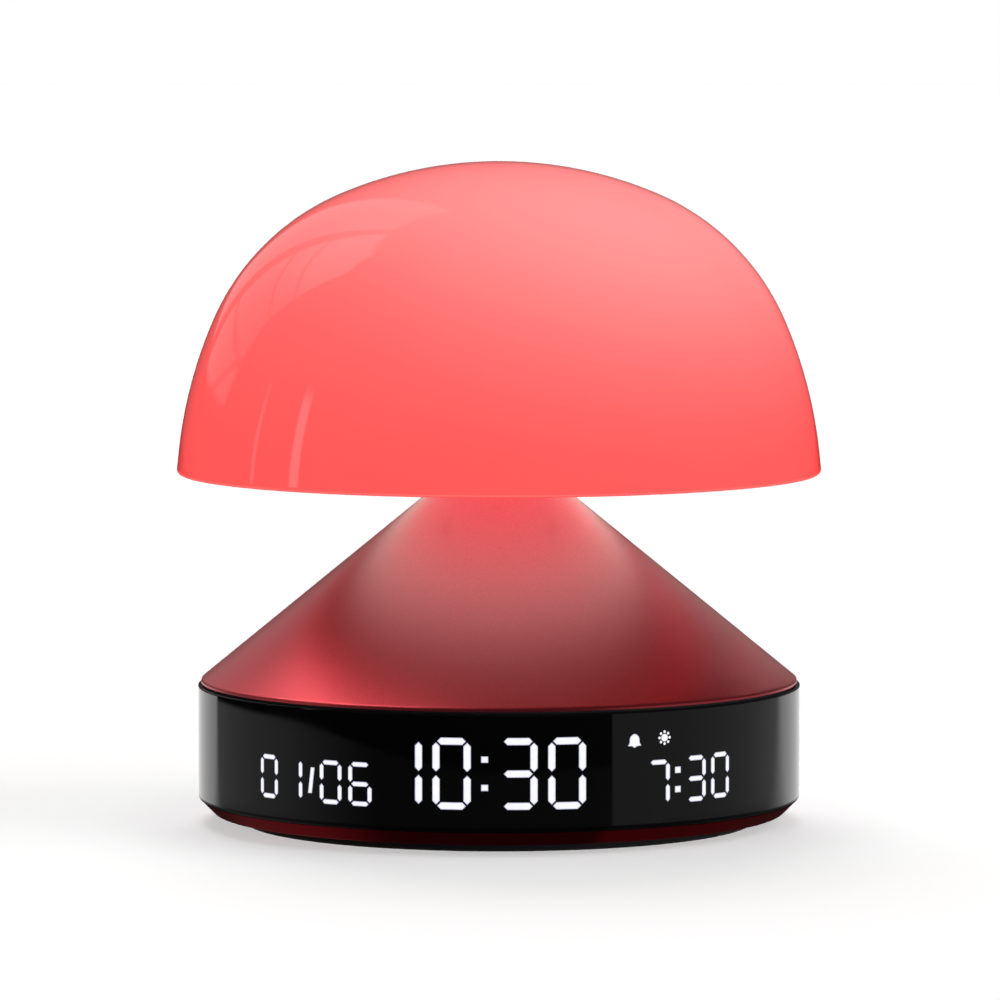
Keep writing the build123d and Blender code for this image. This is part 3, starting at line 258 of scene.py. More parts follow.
# %% Drawing and spinning an outline
def drawn(name, points):
    """A chain of edges through points (x, z) in millimetres, drawn by extruding a vertex."""
    line = fresh(bpy.ops.mesh.primitive_plane_add, size=MM)
    line.name = line.data.name = name
    bpy.ops.object.mode_set(mode="EDIT")
    bpy.ops.mesh.select_mode(type="VERT")
    bpy.ops.mesh.select_all(action="SELECT")
    bpy.ops.mesh.merge(type="CENTER")
    corners = [Vector((x * MM, 0, z * MM)) for x, z in points]
    bpy.ops.transform.translate(value=corners[0])
    for here, there in zip(corners, corners[1:]):
        bpy.ops.mesh.extrude_vertices_move(TRANSFORM_OT_translate={"value": there - here})
    bpy.ops.object.mode_set(mode="OBJECT")
    return line


def spun(name, points, steps=256):
    """A closed half section (r, z), spun about the axis into a shell."""
    shell = drawn(name, [*points, points[0]])
    work_on(shell, "EDIT")
    bpy.ops.mesh.select_all(action="SELECT")
    bpy.ops.mesh.spin(steps=steps, angle=2 * pi, center=(0, 0, 0), axis=(0, 0, 1))
    weld()
    bpy.ops.mesh.normals_make_consistent(inside=False)
    return shell


def bevelled(shell, radius, height, width, segments, span=0.05):
    """Bevels the ring edge of a spun shell that lies at a radius and a height."""
    def on_ring(co):
        return abs(sqrt(co.x**2 + co.y**2) - radius) < span and abs(co.z - height) < span
    pick_edges(shell, on_ring)
    bpy.ops.mesh.bevel(offset=width * MM, segments=segments, profile=0.5)


def dressed(piece, material, body, slot, *stands_for):
    """Shades a finished piece, gives it its material and hands it to its CAD body."""
    soften(piece)
    piece.data.materials.append(material)
    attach(piece, body)
    if stands_for:
        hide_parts(*stands_for)
    print(piece.name, len(piece.data.polygons), "faces, rides on", body)


# %% [markdown]
# The dome shade. The real one is an opal shell, moulded in one piece and polished, so its outline is all
# there is to it: a flat crown, a rounder shoulder and a wall that runs down to a rounded rim. Three tangent
# arcs give that outline, drawn once outside and once a wall's thickness further in, which keeps the wall even
# as the mould does.

# %% Dome outline
DOME_TOP, DOME_R, RIM_Z, DOME_WALL = 154.0, 75.0, 81.5, 2.2
CROWN_R, CROWN_ANGLE = 94.3, radians(23.1)
SHOULDER_R, SHOULDER_ANGLE = 56.2, radians(43.6)


def arc(centre, radius, start, end, count):
    """Points on an arc, its angles measured from straight up."""
    angles = [start + (end - start) * i / count for i in range(count + 1)]
    return [(centre[0] + radius * sin(a), centre[1] + radius * cos(a)) for a in angles]


def dome_side(inset):
    """The outline from crown to rim, moved in by inset."""
    crown = (0, DOME_TOP - CROWN_R)
    offset = CROWN_R - SHOULDER_R
    shoulder = (crown[0] + offset * sin(CROWN_ANGLE), crown[1] + offset * cos(CROWN_ANGLE))
    turned = CROWN_ANGLE + SHOULDER_ANGLE
    side = arc(crown, CROWN_R - inset, 0, CROWN_ANGLE, 16)
    side += arc(shoulder, SHOULDER_R - inset, CROWN_ANGLE, turned, 20)[1:]
    start = Vector(side[-1])
    run = Vector((DOME_R - inset, RIM_Z)) - start
    out = Vector((sin(turned), cos(turned)))
    wall_r = -run.length_squared / (2 * run.dot(out))
    centre = start - wall_r * out
    end = acos((RIM_Z - centre.y) / wall_r)
    return side + arc(centre, wall_r, turned, end, 14)[1:]


print("Dome outline:", len(dome_side(0)), "points, rim at", [round(v, 2) for v in dome_side(0)[-1]])

# %% Dome shade
RIM_ROUND, INNER_ROUND = 1.0, 0.4
KEEP = 0.12      # how far past a round its guard ring lies
outside, inside = dome_side(0), dome_side(DOME_WALL)
guard = (DOME_R - 0.02, RIM_Z + RIM_ROUND + KEEP)      # keeps the wall's shading straight down to the round
shade = spun("opal_dome", [*outside[:-1], guard, outside[-1], *inside[::-1]], steps=288)
bevelled(shade, DOME_R, RIM_Z, RIM_ROUND, 6)
bevelled(shade, DOME_R - DOME_WALL, RIM_Z, INNER_ROUND, 2)

# %% [markdown]
# Opal finish. The lamp is on, so the shell glows coral by itself, and opal plastic also scatters the studio's
# key light, which makes its lit shoulder paler. So the coral is split in two: a deep Emission Color and a
# pinker Base Color. Faint clouds of noise stand for uneven pigment, and a slow ripple in the bump for the
# skin of a moulding.

# %% Opal materials
EDGE_Z, RIM_GLOW_LINE_Z, COAT_Z, PAINTED_SHADE_Z = (81.52, 81.62), (81.75, 82.1), (82.1, 82.9), (84.0, DOME_TOP)      # from, to


def opal_shade():
    """Opal plastic lit from inside: dark under the rim, a painted brighter line of glow on its round, and
    painted shade in the base colour, deep red low down and paler towards the top.
    """
    opal = Finish("opal_shade_lit")
    clouds, skin = opal.noise(20.0, 4.0), opal.noise(34.0, 1.0)
    height = opal.axis("Z")
    under = 1 - height.smooth(*EDGE_Z)
    # painted light: a brighter line of glow painted on the rim's round
    rim_glow_line = between(height, *RIM_GLOW_LINE_Z, 0.15)
    body = opal.blend(clouds, (0.56, 0.255, 0.252), (0.60, 0.280, 0.276))
    glow = opal.blend(clouds, (0.97, 0.076, 0.074), (1.00, 0.084, 0.082))
    glow = opal.blend(rim_glow_line * 0.4, glow, (1.0, 0.20, 0.19))
    return opal.principled(
        # painted shade: the base colour turns deep red low down and pale towards the top, so the lower wall
        # takes up less of the lamps' light
        base_color=opal.blend(height.smooth(*PAINTED_SHADE_Z), (0.50, 0.022, 0.022), body),
        roughness=0.40 + clouds * 0.1, specular_ior_level=0.0,
        coat_weight=height.smooth(*COAT_Z) * (0.97 + skin * 0.03), coat_ior=1.5, coat_roughness=0.03,
        normal=opal.bump(skin, 0.04),
        emission_color=opal.blend(under, glow, (0.20, 0.016, 0.016)), emission_strength=1.25)


PLATE_R, PLATE_POWER = 72.0, 1.7
PLATE_LIGHT = (      # the light that the plate gives out, as (radius in mm, colour), brightest near the stem
    (10, (0.90, 0.74, 0.72)), (25, (0.74, 1.02, 0.92)), (36, (0.57, 1.34, 1.12)), (45, (0.38, 1.20, 1.02)),
    (54, (0.15, 0.34, 0.32)), (62, (0.03, 0.01, 0.01)), (72, (0.01, 0.0, 0.0)))


def opal_plate():
    """The plate under the dome, which lights the cone."""
    opal = Finish("opal_plate_lit")
    stops = [(r / PLATE_R, tuple(c / PLATE_POWER for c in colour)) for r, colour in PLATE_LIGHT]
    grain = opal.noise(0.35, 2.0)
    return opal.principled(
        base_color=opal.blend(grain, (0.46, 0.22, 0.22), (0.50, 0.25, 0.25)), roughness=0.42 + grain * 0.08,
        emission_color=opal.ramp(opal.radius() / PLATE_R, *stops), emission_strength=PLATE_POWER,
        normal=opal.bump(grain, 0.01))


finishes = {"opal_shade": opal_shade(), "opal_plate": opal_plate()}
dressed(shade, finishes["opal_shade"], "head", "opal_shade", "dome_shade")

# %% [markdown]
# The cone cover. On the real lamp it is a spun or drawn metal cone with a short straight lip, its wall the
# same all over, and a flat neck for the head's collar. The section is a bent strip, spun, with the lip's
# corner and the neck's edge rounded, since a pressed edge is never knife-sharp and the round catches a thin
# line of light.

# %% Cone cover
LIP_R, LIP_Z, CONE_Z, NECK_R, NECK_Z, NECK_BORE = 69.45, 32.8, 33.55, 13.5, 79.4, 10.4
CONE_WALL, LIP_ROUND, NECK_ROUND = 2.0, 0.3, 0.4
slope = atan2(NECK_Z - CONE_Z, LIP_R - NECK_R)
level_wall = CONE_WALL / sin(slope)
inner_foot = LIP_R + (CONE_Z - LIP_Z) / tan(slope) - level_wall
inner_neck = NECK_R + CONE_WALL / tan(slope) - level_wall
STRIPS = 12
shares = [0, 0.008, *[i / STRIPS for i in range(1, STRIPS)], 0.99, 1]      # two more rings guard the rounds
side = [(LIP_R + (NECK_R - LIP_R) * share, CONE_Z + (NECK_Z - CONE_Z) * share) for share in shares]
cone = spun("red_cone", [
    (LIP_R, LIP_Z), (LIP_R, CONE_Z - 0.35), *side, (NECK_BORE, NECK_Z), (NECK_BORE, NECK_Z - CONE_WALL),
    (max(inner_neck, NECK_BORE + 0.01), NECK_Z - CONE_WALL), (inner_foot, LIP_Z)])
bevelled(cone, LIP_R, CONE_Z, LIP_ROUND, 3)
bevelled(cone, NECK_R, NECK_Z, NECK_ROUND, 3)

# %% [markdown]
# Satin red metal. Blasted and dyed aluminium scatters light in fine sparkles, so tiny cells vary its
# brightness and a fine bump breaks the mirror. Large soft noise changes the roughness a little, as handling
# does, and the lip's edge is painted a little brighter, a painted highlight. Metallic 1 tints every reflection
# red, the specular tint keeps it red at a grazing view too, and a rough coat adds the pale veil.

# %% Satin red
def satin_red(name, dark, bright, roughness, veil, edges=()):
    """Dyed metal; each edge is (height, reach) of a band whose colour is painted brighter, a painted highlight.
    """
    red = Finish(name)
    sparkle = red.node("ShaderNodeTexVoronoi", None, {"Vector": red.place, "Scale": 1 / (0.22 * MM)}, output=1)
    flake = red.node("ShaderNodeSeparateColor", None, {0: sparkle})
    grain = red.noise(0.25, 2.0)
    hands = red.noise(26.0, 3.0)
    tone = flake * 0.5 + grain * 0.5
    colour = red.blend(tone, dark, bright)
    height = red.axis("Z")
    edge_highlight = 0.0
    for level, reach in edges:
        edge_highlight = (1 - abs(height - level).smooth(0.0, reach)) + edge_highlight
    if edges:
        # painted highlight: the colour is painted brighter along each edge
        colour = red.blend(edge_highlight * 0.35, colour, tuple(min(1.0, 1.25 * c) for c in bright))
    return red.principled(
        base_color=colour, metallic=1.0, roughness=roughness + (hands - 0.5) * 0.06 + (grain - 0.5) * 0.05,
        normal=red.bump(flake * 0.4 + grain * 0.6, 0.012), coat_weight=veil, coat_roughness=0.36,
        specular_tint=(1.0, 0.65, 0.65, 1.0))


# the lip's edge gets a painted highlight
finishes["cone_red"] = satin_red(
    "satin_red_cone", (0.80, 0.046, 0.066), (0.97, 0.068, 0.094), roughness=0.36, veil=0.9,
    edges=[(CONE_Z, 0.5)])
dressed(cone, finishes["cone_red"], "base", "cone_red", "cone_cover")

# %% [markdown]
# The display band: one gloss black ring with a fine bevel round its top and a soft round below. Behind it, at
# the back, sit five keys and the power inlet, so rounded openings are cut through the wall there with a
# Boolean, which is the same as the slides in the mould that leave those holes.

# %% Cutting blocks
BAND_R, BAND_Z, BAND_TOP, BAND_WALL = 70.2, 5.4, 32.3, 2.5


def block(name, size, at, corner, segments=6):
    """A block with its four Y-wise edges rounded: size and at in millimetres."""
    solid = fresh(bpy.ops.mesh.primitive_cube_add, size=1)
    solid.name = solid.data.name = name
    bpy.ops.object.mode_set(mode="EDIT")
    bpy.ops.mesh.select_all(action="SELECT")
    bpy.ops.transform.resize(value=[s * MM for s in size])
    bpy.ops.transform.translate(value=[p * MM for p in at])
    bpy.ops.mesh.select_mode(type="EDGE")
    bpy.ops.mesh.select_all(action="DESELECT")
    sketch = bmesh.from_edit_mesh(solid.data)
    for edge in sketch.edges:
        run = edge.verts[0].co - edge.verts[1].co
        edge.select_set(abs(run.y) > 0.9 * run.length)
    bmesh.update_edit_mesh(solid.data)
    bpy.ops.mesh.bevel(offset=corner * MM, segments=segments)
    bpy.ops.object.mode_set(mode="OBJECT")
    return solid


def cut_away(piece, tool):
    """Cuts a tool piece out of a piece and removes the tool."""
    work_on(piece)
    cut = piece.modifiers.new("cut", "BOOLEAN")
    cut.operation = "DIFFERENCE"
    cut.solver = "EXACT"
    cut.object = tool
    bpy.ops.object.modifier_apply(modifier=cut.name)
    bpy.data.objects.remove(tool)


# %% Display band
KEY_XS, KEY_LEVEL, KEY_SIZE, KEY_GAP, KEY_ROUND = (-24.0, -12.0, 0.0, 12.0, 24.0), 23.0, (8.0, 6.0), 0.15, 1.65
CUT_Y, CUT_DEPTH = 65, 40      # the middle and the length of a cutting block at the rear
PORT_LEVEL, PORT_SIZE, PORT_ROUND = 13.0, (12.8, 7.0), 3.0
band_bore = BAND_R - BAND_WALL
TOP_BEVEL, LOW_ROUND = 0.3, 1.2
band = spun("gloss_band", [
    (BAND_R, BAND_Z), (BAND_R, BAND_Z + LOW_ROUND + KEEP), (BAND_R, BAND_TOP - TOP_BEVEL - KEEP),
    (BAND_R, BAND_TOP), (band_bore, BAND_TOP), (band_bore, BAND_Z)], steps=360)
bevelled(band, BAND_R, BAND_TOP, TOP_BEVEL, 3)
bevelled(band, BAND_R, BAND_Z, LOW_ROUND, 6)
key_opening = (KEY_SIZE[0] + 2 * KEY_GAP, CUT_DEPTH, KEY_SIZE[1] + 2 * KEY_GAP)
for x in KEY_XS:
    cut_away(band, block("key_opening", key_opening, (x, CUT_Y, KEY_LEVEL), KEY_ROUND))
port_opening = (PORT_SIZE[0], CUT_DEPTH, PORT_SIZE[1])
cut_away(band, block("port_opening", port_opening, (0, CUT_Y, PORT_LEVEL), PORT_ROUND))

# %% [markdown]
# Gloss black. Polished plastic is nearly a mirror with a dark body, so its colour hardly matters and its
# roughness is everything: very low, with soft patches where fingers and cloths have been, a little more near
# the lower edge.

# %% Gloss black
def gloss_black():
    black = Finish("gloss_black_band")
    smear = black.noise(16.0, 4.0)
    fine = black.noise(0.8, 2.0)
    low = 1 - black.axis("Z").smooth(5.0, 9.0)
    body = black.blend(smear, (0.0012, 0.0012, 0.0016), (0.0022, 0.0022, 0.0028))
    return black.principled(
        base_color=body, roughness=0.02 + smear.smooth(0.45, 0.75) * 0.025 + fine * 0.01 + low * 0.05,
        ior=1.36, normal=black.bump(black.noise(40.0, 1.0), 0.02))


finishes["band_black"] = gloss_black()
dressed(band, finishes["band_black"], "base", "band_black", "display_band")

# %% [markdown]
# The pan's skirt. The pan is the dyed metal tray that closes the base. Its side slopes in under the band, and
# a rolled lip makes the slope steep outside before it turns nearly flat underneath. The section is a thin
# wedge, spun, with its outer corner bevelled as a roller would leave it. It stands for no CAD node: the pan
# stays, and the skirt rides on the same body in front of it.

# %% Pan skirt
PAN_R, SKIRT_R, SKIRT_Z, SKIRT_IN, SKIRT_ROUND = 69.5, 66.3, 2.25, (60.4, 1.78), 0.5
skirt = spun("red_pan_skirt", [(PAN_R - 0.02, BAND_Z), (SKIRT_R, SKIRT_Z), SKIRT_IN, (PAN_R - 0.6, BAND_Z)])
bevelled(skirt, SKIRT_R, SKIRT_Z, SKIRT_ROUND, 4)
# painted shade: the same dyed red as the cone, made darker for the skirt that faces the ground
finishes["pan_red"] = satin_red(
    "satin_red_pan", (0.52, 0.014, 0.024), (0.66, 0.022, 0.034), roughness=0.34, veil=0.0)
dressed(skirt, finishes["pan_red"], "base", "pan_red")

# %% [markdown]
# The lit digits. Light pipes end behind the black band and shine through it, so the eye sees flat bars with
# mitred ends. One bar is shaped per size, copied to its places on a flat sheet, and the whole sheet is then
# bent round the band, because a digit is easy to lay out flat and hard to lay out on a curve.

# %% One bar
PROUD, RIM = 0.03, 0.16                   # how far a lit shape stands out, and the width of its rim
SEGMENT_GAP, WAIST_GAP = 0.55, 0.68       # what is taken off a level bar and off an upright one


def bar(name, length, stroke):
    """A flat bar facing the front, its ends drawn out to points and a thin rim inset round it."""
    flat = fresh(bpy.ops.mesh.primitive_plane_add, size=1, rotation=(pi / 2, 0, 0))
    flat.name = flat.data.name = name
    bpy.ops.object.transform_apply(location=True, rotation=True, scale=True)
    bpy.ops.object.mode_set(mode="EDIT")
    bpy.ops.mesh.select_all(action="SELECT")
    bpy.ops.transform.resize(value=((length - stroke) * MM, 1, stroke * MM))
    bpy.ops.mesh.subdivide(number_cuts=3)
    for way in (-1, 1):
        end = way * (length - stroke) / 2
        pick_edges(flat, lambda co: abs(co.x - end) < 0.01)
        bpy.ops.mesh.extrude_region_move(TRANSFORM_OT_translate={"value": (way * stroke / 2 * MM, 0, 0)})
        bpy.ops.transform.resize(value=(1, 1, 0), center_override=(way * length / 2 * MM, 0, 0))
    weld()
    return raised(rimmed(flat))


def rimmed(flat):
    """Insets a rim and gives it the second material slot."""
    bpy.ops.mesh.select_mode(type="FACE")
    bpy.ops.mesh.select_all(action="SELECT")
    bpy.ops.mesh.inset(thickness=RIM * MM)
    bpy.ops.object.mode_set(mode="OBJECT")
    flat.data.materials.append(lit_core)
    flat.data.materials.append(lit_rim)
    for face in flat.data.polygons:
        face.material_index = 0 if face.select else 1
    return flat


def raised(flat):
    """Thickens a flat shape towards the front by PROUD."""
    work_on(flat, "EDIT")
    bpy.ops.mesh.select_all(action="SELECT")
    bpy.ops.mesh.extrude_region_move(TRANSFORM_OT_translate={"value": (0, -PROUD * MM, 0)})
    bpy.ops.mesh.select_all(action="SELECT")
    bpy.ops.mesh.normals_make_consistent(inside=False)
    bpy.ops.object.mode_set(mode="OBJECT")
    return flat


# %% [markdown]
# The light itself: an even cool white that is weaker and bluer in the rim, where the pipe's wall takes some
# of it. A hint of noise in the colour stands for the milky filling. The strength is 1, so that the digits
# read as white and don't wash out.

# %% Lit display materials
def lit(name, core, shadow):
    glow = Finish(name)
    milk = glow.noise(0.9, 2.0)
    return glow.principled(
        base_color=(0.02, 0.02, 0.022), roughness=0.25 + milk * 0.1,
        emission_color=glow.blend(milk.smooth(0.25, 0.75), shadow, core), emission_strength=1.0)


lit_core = lit("display_light", (0.99, 0.99, 1.0), (0.93, 0.93, 1.0))
lit_rim = lit("display_light_rim", (0.62, 0.62, 0.78), (0.50, 0.50, 0.68))

# %% [markdown]
# A digit is up to seven bars, lettered a to g, and every digit of a reading uses copies of the same two bars.
# The upright bars stand a little off the waist, which leaves the small gaps that tell one bar from the next.
# The flat sheet is bent by a Simple Deform modifier, because it keeps lengths along the sheet as a real wrap
# does.

# %% Laying out and wrapping
SEGMENTS = {"0": "abcdef", "1": "bc", "3": "abcdg", "6": "acdefg", "7": "abc"}


def arc_at(angle):
    """Arc length from the middle of the front to a place given in degrees round the band."""
    return radians(angle) * BAND_R


def laid(master, x, z, upright):
    """A copy of a bar with its own mesh, at x and z on the flat sheet."""
    work_on(master)
    bpy.ops.object.duplicate()
    copy = bpy.context.object
    copy.location = (x * MM, 0, z * MM)
    copy.rotation_euler.y = pi / 2 if upright else 0
    bpy.ops.object.transform_apply(location=True, rotation=True, scale=True)
    return copy


def number(text, angles, levels, size, strokes):
    """The bars of several digits; strokes are the widths of an upright bar and of a level one."""
    width, height = size
    stroke_up, stroke_across = strokes
    side, rise = (width - stroke_up) / 2, (height - stroke_across) / 2
    level = bar("level_bar", width - stroke_up - SEGMENT_GAP, stroke_across)
    upright = bar("upright_bar", rise - WAIST_GAP, stroke_up)
    lift = rise / 2 + (WAIST_GAP - SEGMENT_GAP) / 2
    spots = {
        "a": (0, rise, False), "g": (0, 0, False), "d": (0, -rise, False),
        "f": (-side, lift, True), "b": (side, lift, True), "e": (-side, -lift, True), "c": (side, -lift, True)}
    made = []
    for character, angle, z in zip(text, angles, levels):
        for letter in SEGMENTS[character]:
            x, rise_by, stands = spots[letter]
            made.append(laid(upright if stands else level, arc_at(angle) + x, z + rise_by, stands))
    for master in (level, upright):
        bpy.data.objects.remove(master)
    return made


def joined(name, parts):
    """Makes one piece of one or more parts."""
    bpy.ops.object.select_all(action="DESELECT")
    for part in parts:
        part.select_set(True)
    bpy.context.view_layer.objects.active = parts[0]
    if len(parts) > 1:
        bpy.ops.object.join()
    piece = bpy.context.object
    piece.name = piece.data.name = name
    return piece


def wrapped(piece, radius, turn=0.0):
    """Bends a flat sheet round the axis at a radius, then turns it about the axis."""
    work_on(piece)
    xs = [v.co.x for v in piece.data.vertices]
    bend = piece.modifiers.new("bend", "SIMPLE_DEFORM")
    bend.deform_method = "BEND"
    bend.deform_axis = "Z"
    bend.angle = (max(xs) - min(xs)) / (radius * MM)
    bpy.ops.object.modifier_apply(modifier=bend.name)
    bpy.ops.object.mode_set(mode="EDIT")
    bpy.ops.mesh.select_all(action="SELECT")
    bpy.ops.transform.translate(value=(0, -radius * MM, 0))
    bpy.ops.object.mode_set(mode="OBJECT")
    piece.rotation_euler.z = turn
    bpy.ops.object.transform_apply(location=True, rotation=True, scale=True)
    reach = [v.co.xy.length / MM for v in piece.data.vertices]
    print(piece.name, "wrapped between radii", round(min(reach), 3), "and", round(max(reach), 3))
    return piece


# %% [markdown]
# The colons' squares, the slash and the two icons aren't made of bars. They are drawn as closed outlines and
# filled, and they get the same thickness as the bars, and all but the small sun the same rim.

# %% Squares, the slash, the bell and the sun
def face_of(name, points):
    """A closed outline (x, z) in millimetres, filled with one face and left in edit mode."""
    shape = drawn(name, [*points, points[0]])
    work_on(shape, "EDIT")
    weld()
    bpy.ops.mesh.edge_face_add()
    return shape


def filled(name, points, rim=True):
    """A closed outline (x, z) in millimetres, filled and thickened, with a rim or without."""
    shape = face_of(name, points)
    return raised(rimmed(shape) if rim else shape)


def square(x, z, size, rim=True):
    w, h = size[0] / 2, size[1] / 2
    return filled("square", [(x - w, z - h), (x + w, z - h), (x + w, z + h), (x - w, z + h)], rim)


def circle(x, z, radius, corners=24):
    turns = [2 * pi * i / corners for i in range(corners)]
    return [(x + radius * cos(t), z + radius * sin(t)) for t in turns]


def bell(x, z, width, height, rim=True):
    """A bell: half of its outline as shares of its half width and height, mirrored."""
    half = [(0.0, 1.0), (0.30, 0.90), (0.62, 0.60), (0.74, 0.25), (0.76, -0.20), (0.84, -0.46), (1.0, -0.62),
            (0.97, -0.74), (0.34, -0.80), (0.20, -0.94), (0.0, -1.0)]
    shape = half + [(-a, b) for a, b in half[-2:0:-1]]
    return filled("bell", [(x + a * width / 2, z + b * height / 2) for a, b in shape], rim)


def sun(x, z, width):
    """A disc with eight dots round it."""
    spots = circle(x, z, width * 0.405, 8)
    dots = [filled("dot", circle(*spot, width * 0.095, 10), rim=False) for spot in spots]
    return [filled("disc", circle(x, z, width * 0.255), rim=False), *dots]


# %% [markdown]
# The three readings: the date at the left, the time in the middle and the alarm time at the right, under its
# two icons. Each is joined to one piece before it is bent, and its middle is the front of the band, so all
# three meet the band's face at the same radius. Angles are in degrees round the band, and heights in
# millimetres.

# %% The three readings
TIME_LEVEL, TIME_SIZE, TIME_STROKES = 18.9, (8.8, 16.3), (1.7, 1.65)
DATE_LEVEL, DATE_SIZE, DATE_STROKES = 15.75, (6.0, 10.0), (1.08, 1.08)
ALARM_LEVELS, ALARM_SIZE, ALARM_STROKES = (15.75, 16.1, 16.3), (6.0, 10.5), (1.12, 1.12)
COLON_DOT = (1.6, 1.45)
SLASH_FOOT, SLASH_TOP = 12.9, 18.8


def colon(angle, levels):
    return [square(arc_at(angle), z, COLON_DOT) for z in levels]


def slash(angle):
    x = arc_at(angle)
    return filled("slash", [
        (x - 0.95, SLASH_FOOT), (x + 0.15, SLASH_FOOT), (x + 0.95, SLASH_TOP), (x - 0.15, SLASH_TOP)])


def reading(name, parts):
    """Joins lit shapes to one piece on the band's face."""
    for part in parts:
        if not part.data.materials:
            part.data.materials.append(lit_core)
    piece = wrapped(joined(name, parts), BAND_R)
    soften(piece)
    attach(piece, "base")


reading("lit_time", number("1030", (-17.85, -8.75, 3.55, 12.65), [TIME_LEVEL] * 4, TIME_SIZE, TIME_STROKES)
        + colon(-2.63, (15.75, 22.15)))
reading("lit_date", number("0106", (-48.2, -41.9, -32.9, -26.6), [DATE_LEVEL] * 4, DATE_SIZE, DATE_STROKES)
        + [slash(-37.3)])
reading("lit_alarm", number("730", (31.0, 39.55, 45.8), ALARM_LEVELS, ALARM_SIZE, ALARM_STROKES)
        + colon(35.25, (14.0, 18.4))
        + [bell(arc_at(25.86), 25.65, 3.35, 3.15)] + sun(arc_at(32.24), 25.95, 3.35))

# %% [markdown]
# The five keys at the rear need marks, or nobody could tell them apart by day: bell, clock, minus, plus and
# sun. On the real part they are pad-printed. Here each is a film three hundredths of a millimetre thick,
# drawn flat like the icons, wrapped at the radius of the key's face, and turned to the rear. It rides on its
# key.

# %% Printed marks
KEY_FACE_R = 70.8


def print_ink():
    ink = Finish("mark_ink")
    wear = ink.noise(0.7, 4.0).smooth(0.35, 0.75)
    return ink.principled(
        base_color=ink.blend(wear, (0.52, 0.52, 0.52), (0.66, 0.66, 0.66)), roughness=0.5 + wear * 0.2,
        normal=ink.bump(ink.noise(0.2, 2.0), 0.004))


def clock_face(x, z, radius):
    """A ring with two hands."""
    ring = face_of("clock_ring", circle(x, z, radius))
    bpy.ops.mesh.select_mode(type="FACE")
    bpy.ops.mesh.inset(thickness=0.32 * MM)
    bpy.ops.mesh.delete(type="FACE")
    hands = [square(x, z + 0.34, (0.28, 0.96), rim=False), square(x + 0.42, z - 0.02, (0.56, 0.28), rim=False)]
    return [raised(ring), *hands]


def plus_sign(x, z, half=1.25):
    """A cross: its twelve corners as shares of half its width."""
    corners = [(-1, -.16), (-.16, -.16), (-.16, -1), (.16, -1), (.16, -.16), (1, -.16),
               (1, .16), (.16, .16), (.16, 1), (-.16, 1), (-.16, .16), (-1, .16)]
    return filled("plus", [(x + a * half, z + b * half) for a, b in corners], rim=False)


ink = print_ink()
marks = {
    "alarm_key": lambda x, z: [bell(x, z, 2.9, 2.9, rim=False)],
    "clock_key": lambda x, z: clock_face(x, z, 1.45),
    "minus_key": lambda x, z: [square(x, z, (2.5, 0.4), rim=False)],
    "plus_key": lambda x, z: [plus_sign(x, z)],
    "light_key": lambda x, z: sun(x, z, 3.2)}
for (key, draw), key_x in zip(marks.items(), KEY_XS):
    along = -asin(key_x / KEY_FACE_R) * KEY_FACE_R
    mark = joined(key.replace("key", "mark"), draw(along, KEY_LEVEL))
    dressed(wrapped(mark, KEY_FACE_R, turn=pi), ink, key, "key_black")

# %% [markdown]
# The other pieces keep their CAD shapes and get finishes by material slot. Moulded plastic has a fine even
# grain from the sparked mould, turned metal has rings or brushing, boards have a weave under the lacquer. So
# three builders cover them all: one for moulded things, one for metals, and one for the circuit boards.

# %% Builders for the other finishes
def moulded(name, dark, bright, rough, grain=0.25, depth=0.012, patch=12.0):
    """Moulded plastic, rubber or foam: fine grain, slow patches of tone, and polish where the grain is high."""
    resin = Finish(name)
    fine, slow = resin.noise(grain, 2.0), resin.noise(patch, 3.0)
    return resin.principled(
        base_color=resin.blend(slow * 0.7 + fine * 0.3, dark, bright),
        roughness=rough + (slow - 0.5) * 0.10 - fine.smooth(0.5, 0.8) * 0.06, normal=resin.bump(fine, depth))


def turned(name, dark, bright, rough, pitch=0.35, depth=0.006):
    """Turned metal: fine rings about the axis, a little stain, and brighter crests."""
    metal = Finish(name)
    lines = metal.node("ShaderNodeCombineXYZ", None, {0: metal.radius(), 2: metal.axis("Z")})
    rings = metal.node("ShaderNodeTexNoise", None, {"Vector": lines, "Scale": 0.5 / pitch, "Detail": 2.0})
    stain = metal.noise(7.0, 4.0)
    return metal.principled(
        base_color=metal.blend(rings * 0.6 + stain * 0.4, dark, bright), metallic=1.0,
        roughness=rough + (stain - 0.5) * 0.14 + (rings - 0.5) * 0.08, normal=metal.bump(rings, depth))


def board(name, lacquer, copper):
    """Circuit board: tracks under lacquer on a fine glass weave."""
    sheet = Finish(name)
    cells = sheet.node("ShaderNodeTexBrick", {"offset": 0.37}, {
        "Vector": sheet.place, "Scale": 1 / (9 * MM), "Mortar Size": 0.035, "Mortar Smooth": 0.1,
        "Color1": lacquer, "Color2": tuple(0.8 * c for c in lacquer), "Mortar": copper})
    weave = sheet.node("ShaderNodeTexWave", None, {
        "Vector": sheet.place, "Scale": 1 / (2.2 * MM), "Distortion": 0.4}, output=1)
    grain = sheet.noise(1.5, 3.0)
    return sheet.principled(
        base_color=sheet.blend(grain * 0.25, cells, tuple(0.6 * c for c in lacquer)),
        roughness=0.26 + weave * 0.08 + grain * 0.1, normal=sheet.bump(weave * 0.5 + grain * 0.5, 0.01))


# %% [markdown]
# Each CAD node carries one material slot, named for its finish. So the finishes are kept by slot name and
# handed out in one loop, and parts of the same make, such as all the boards or all the screws, match without
# more work. Colours are given as the darkest and the brightest tone, because no real surface has only one.

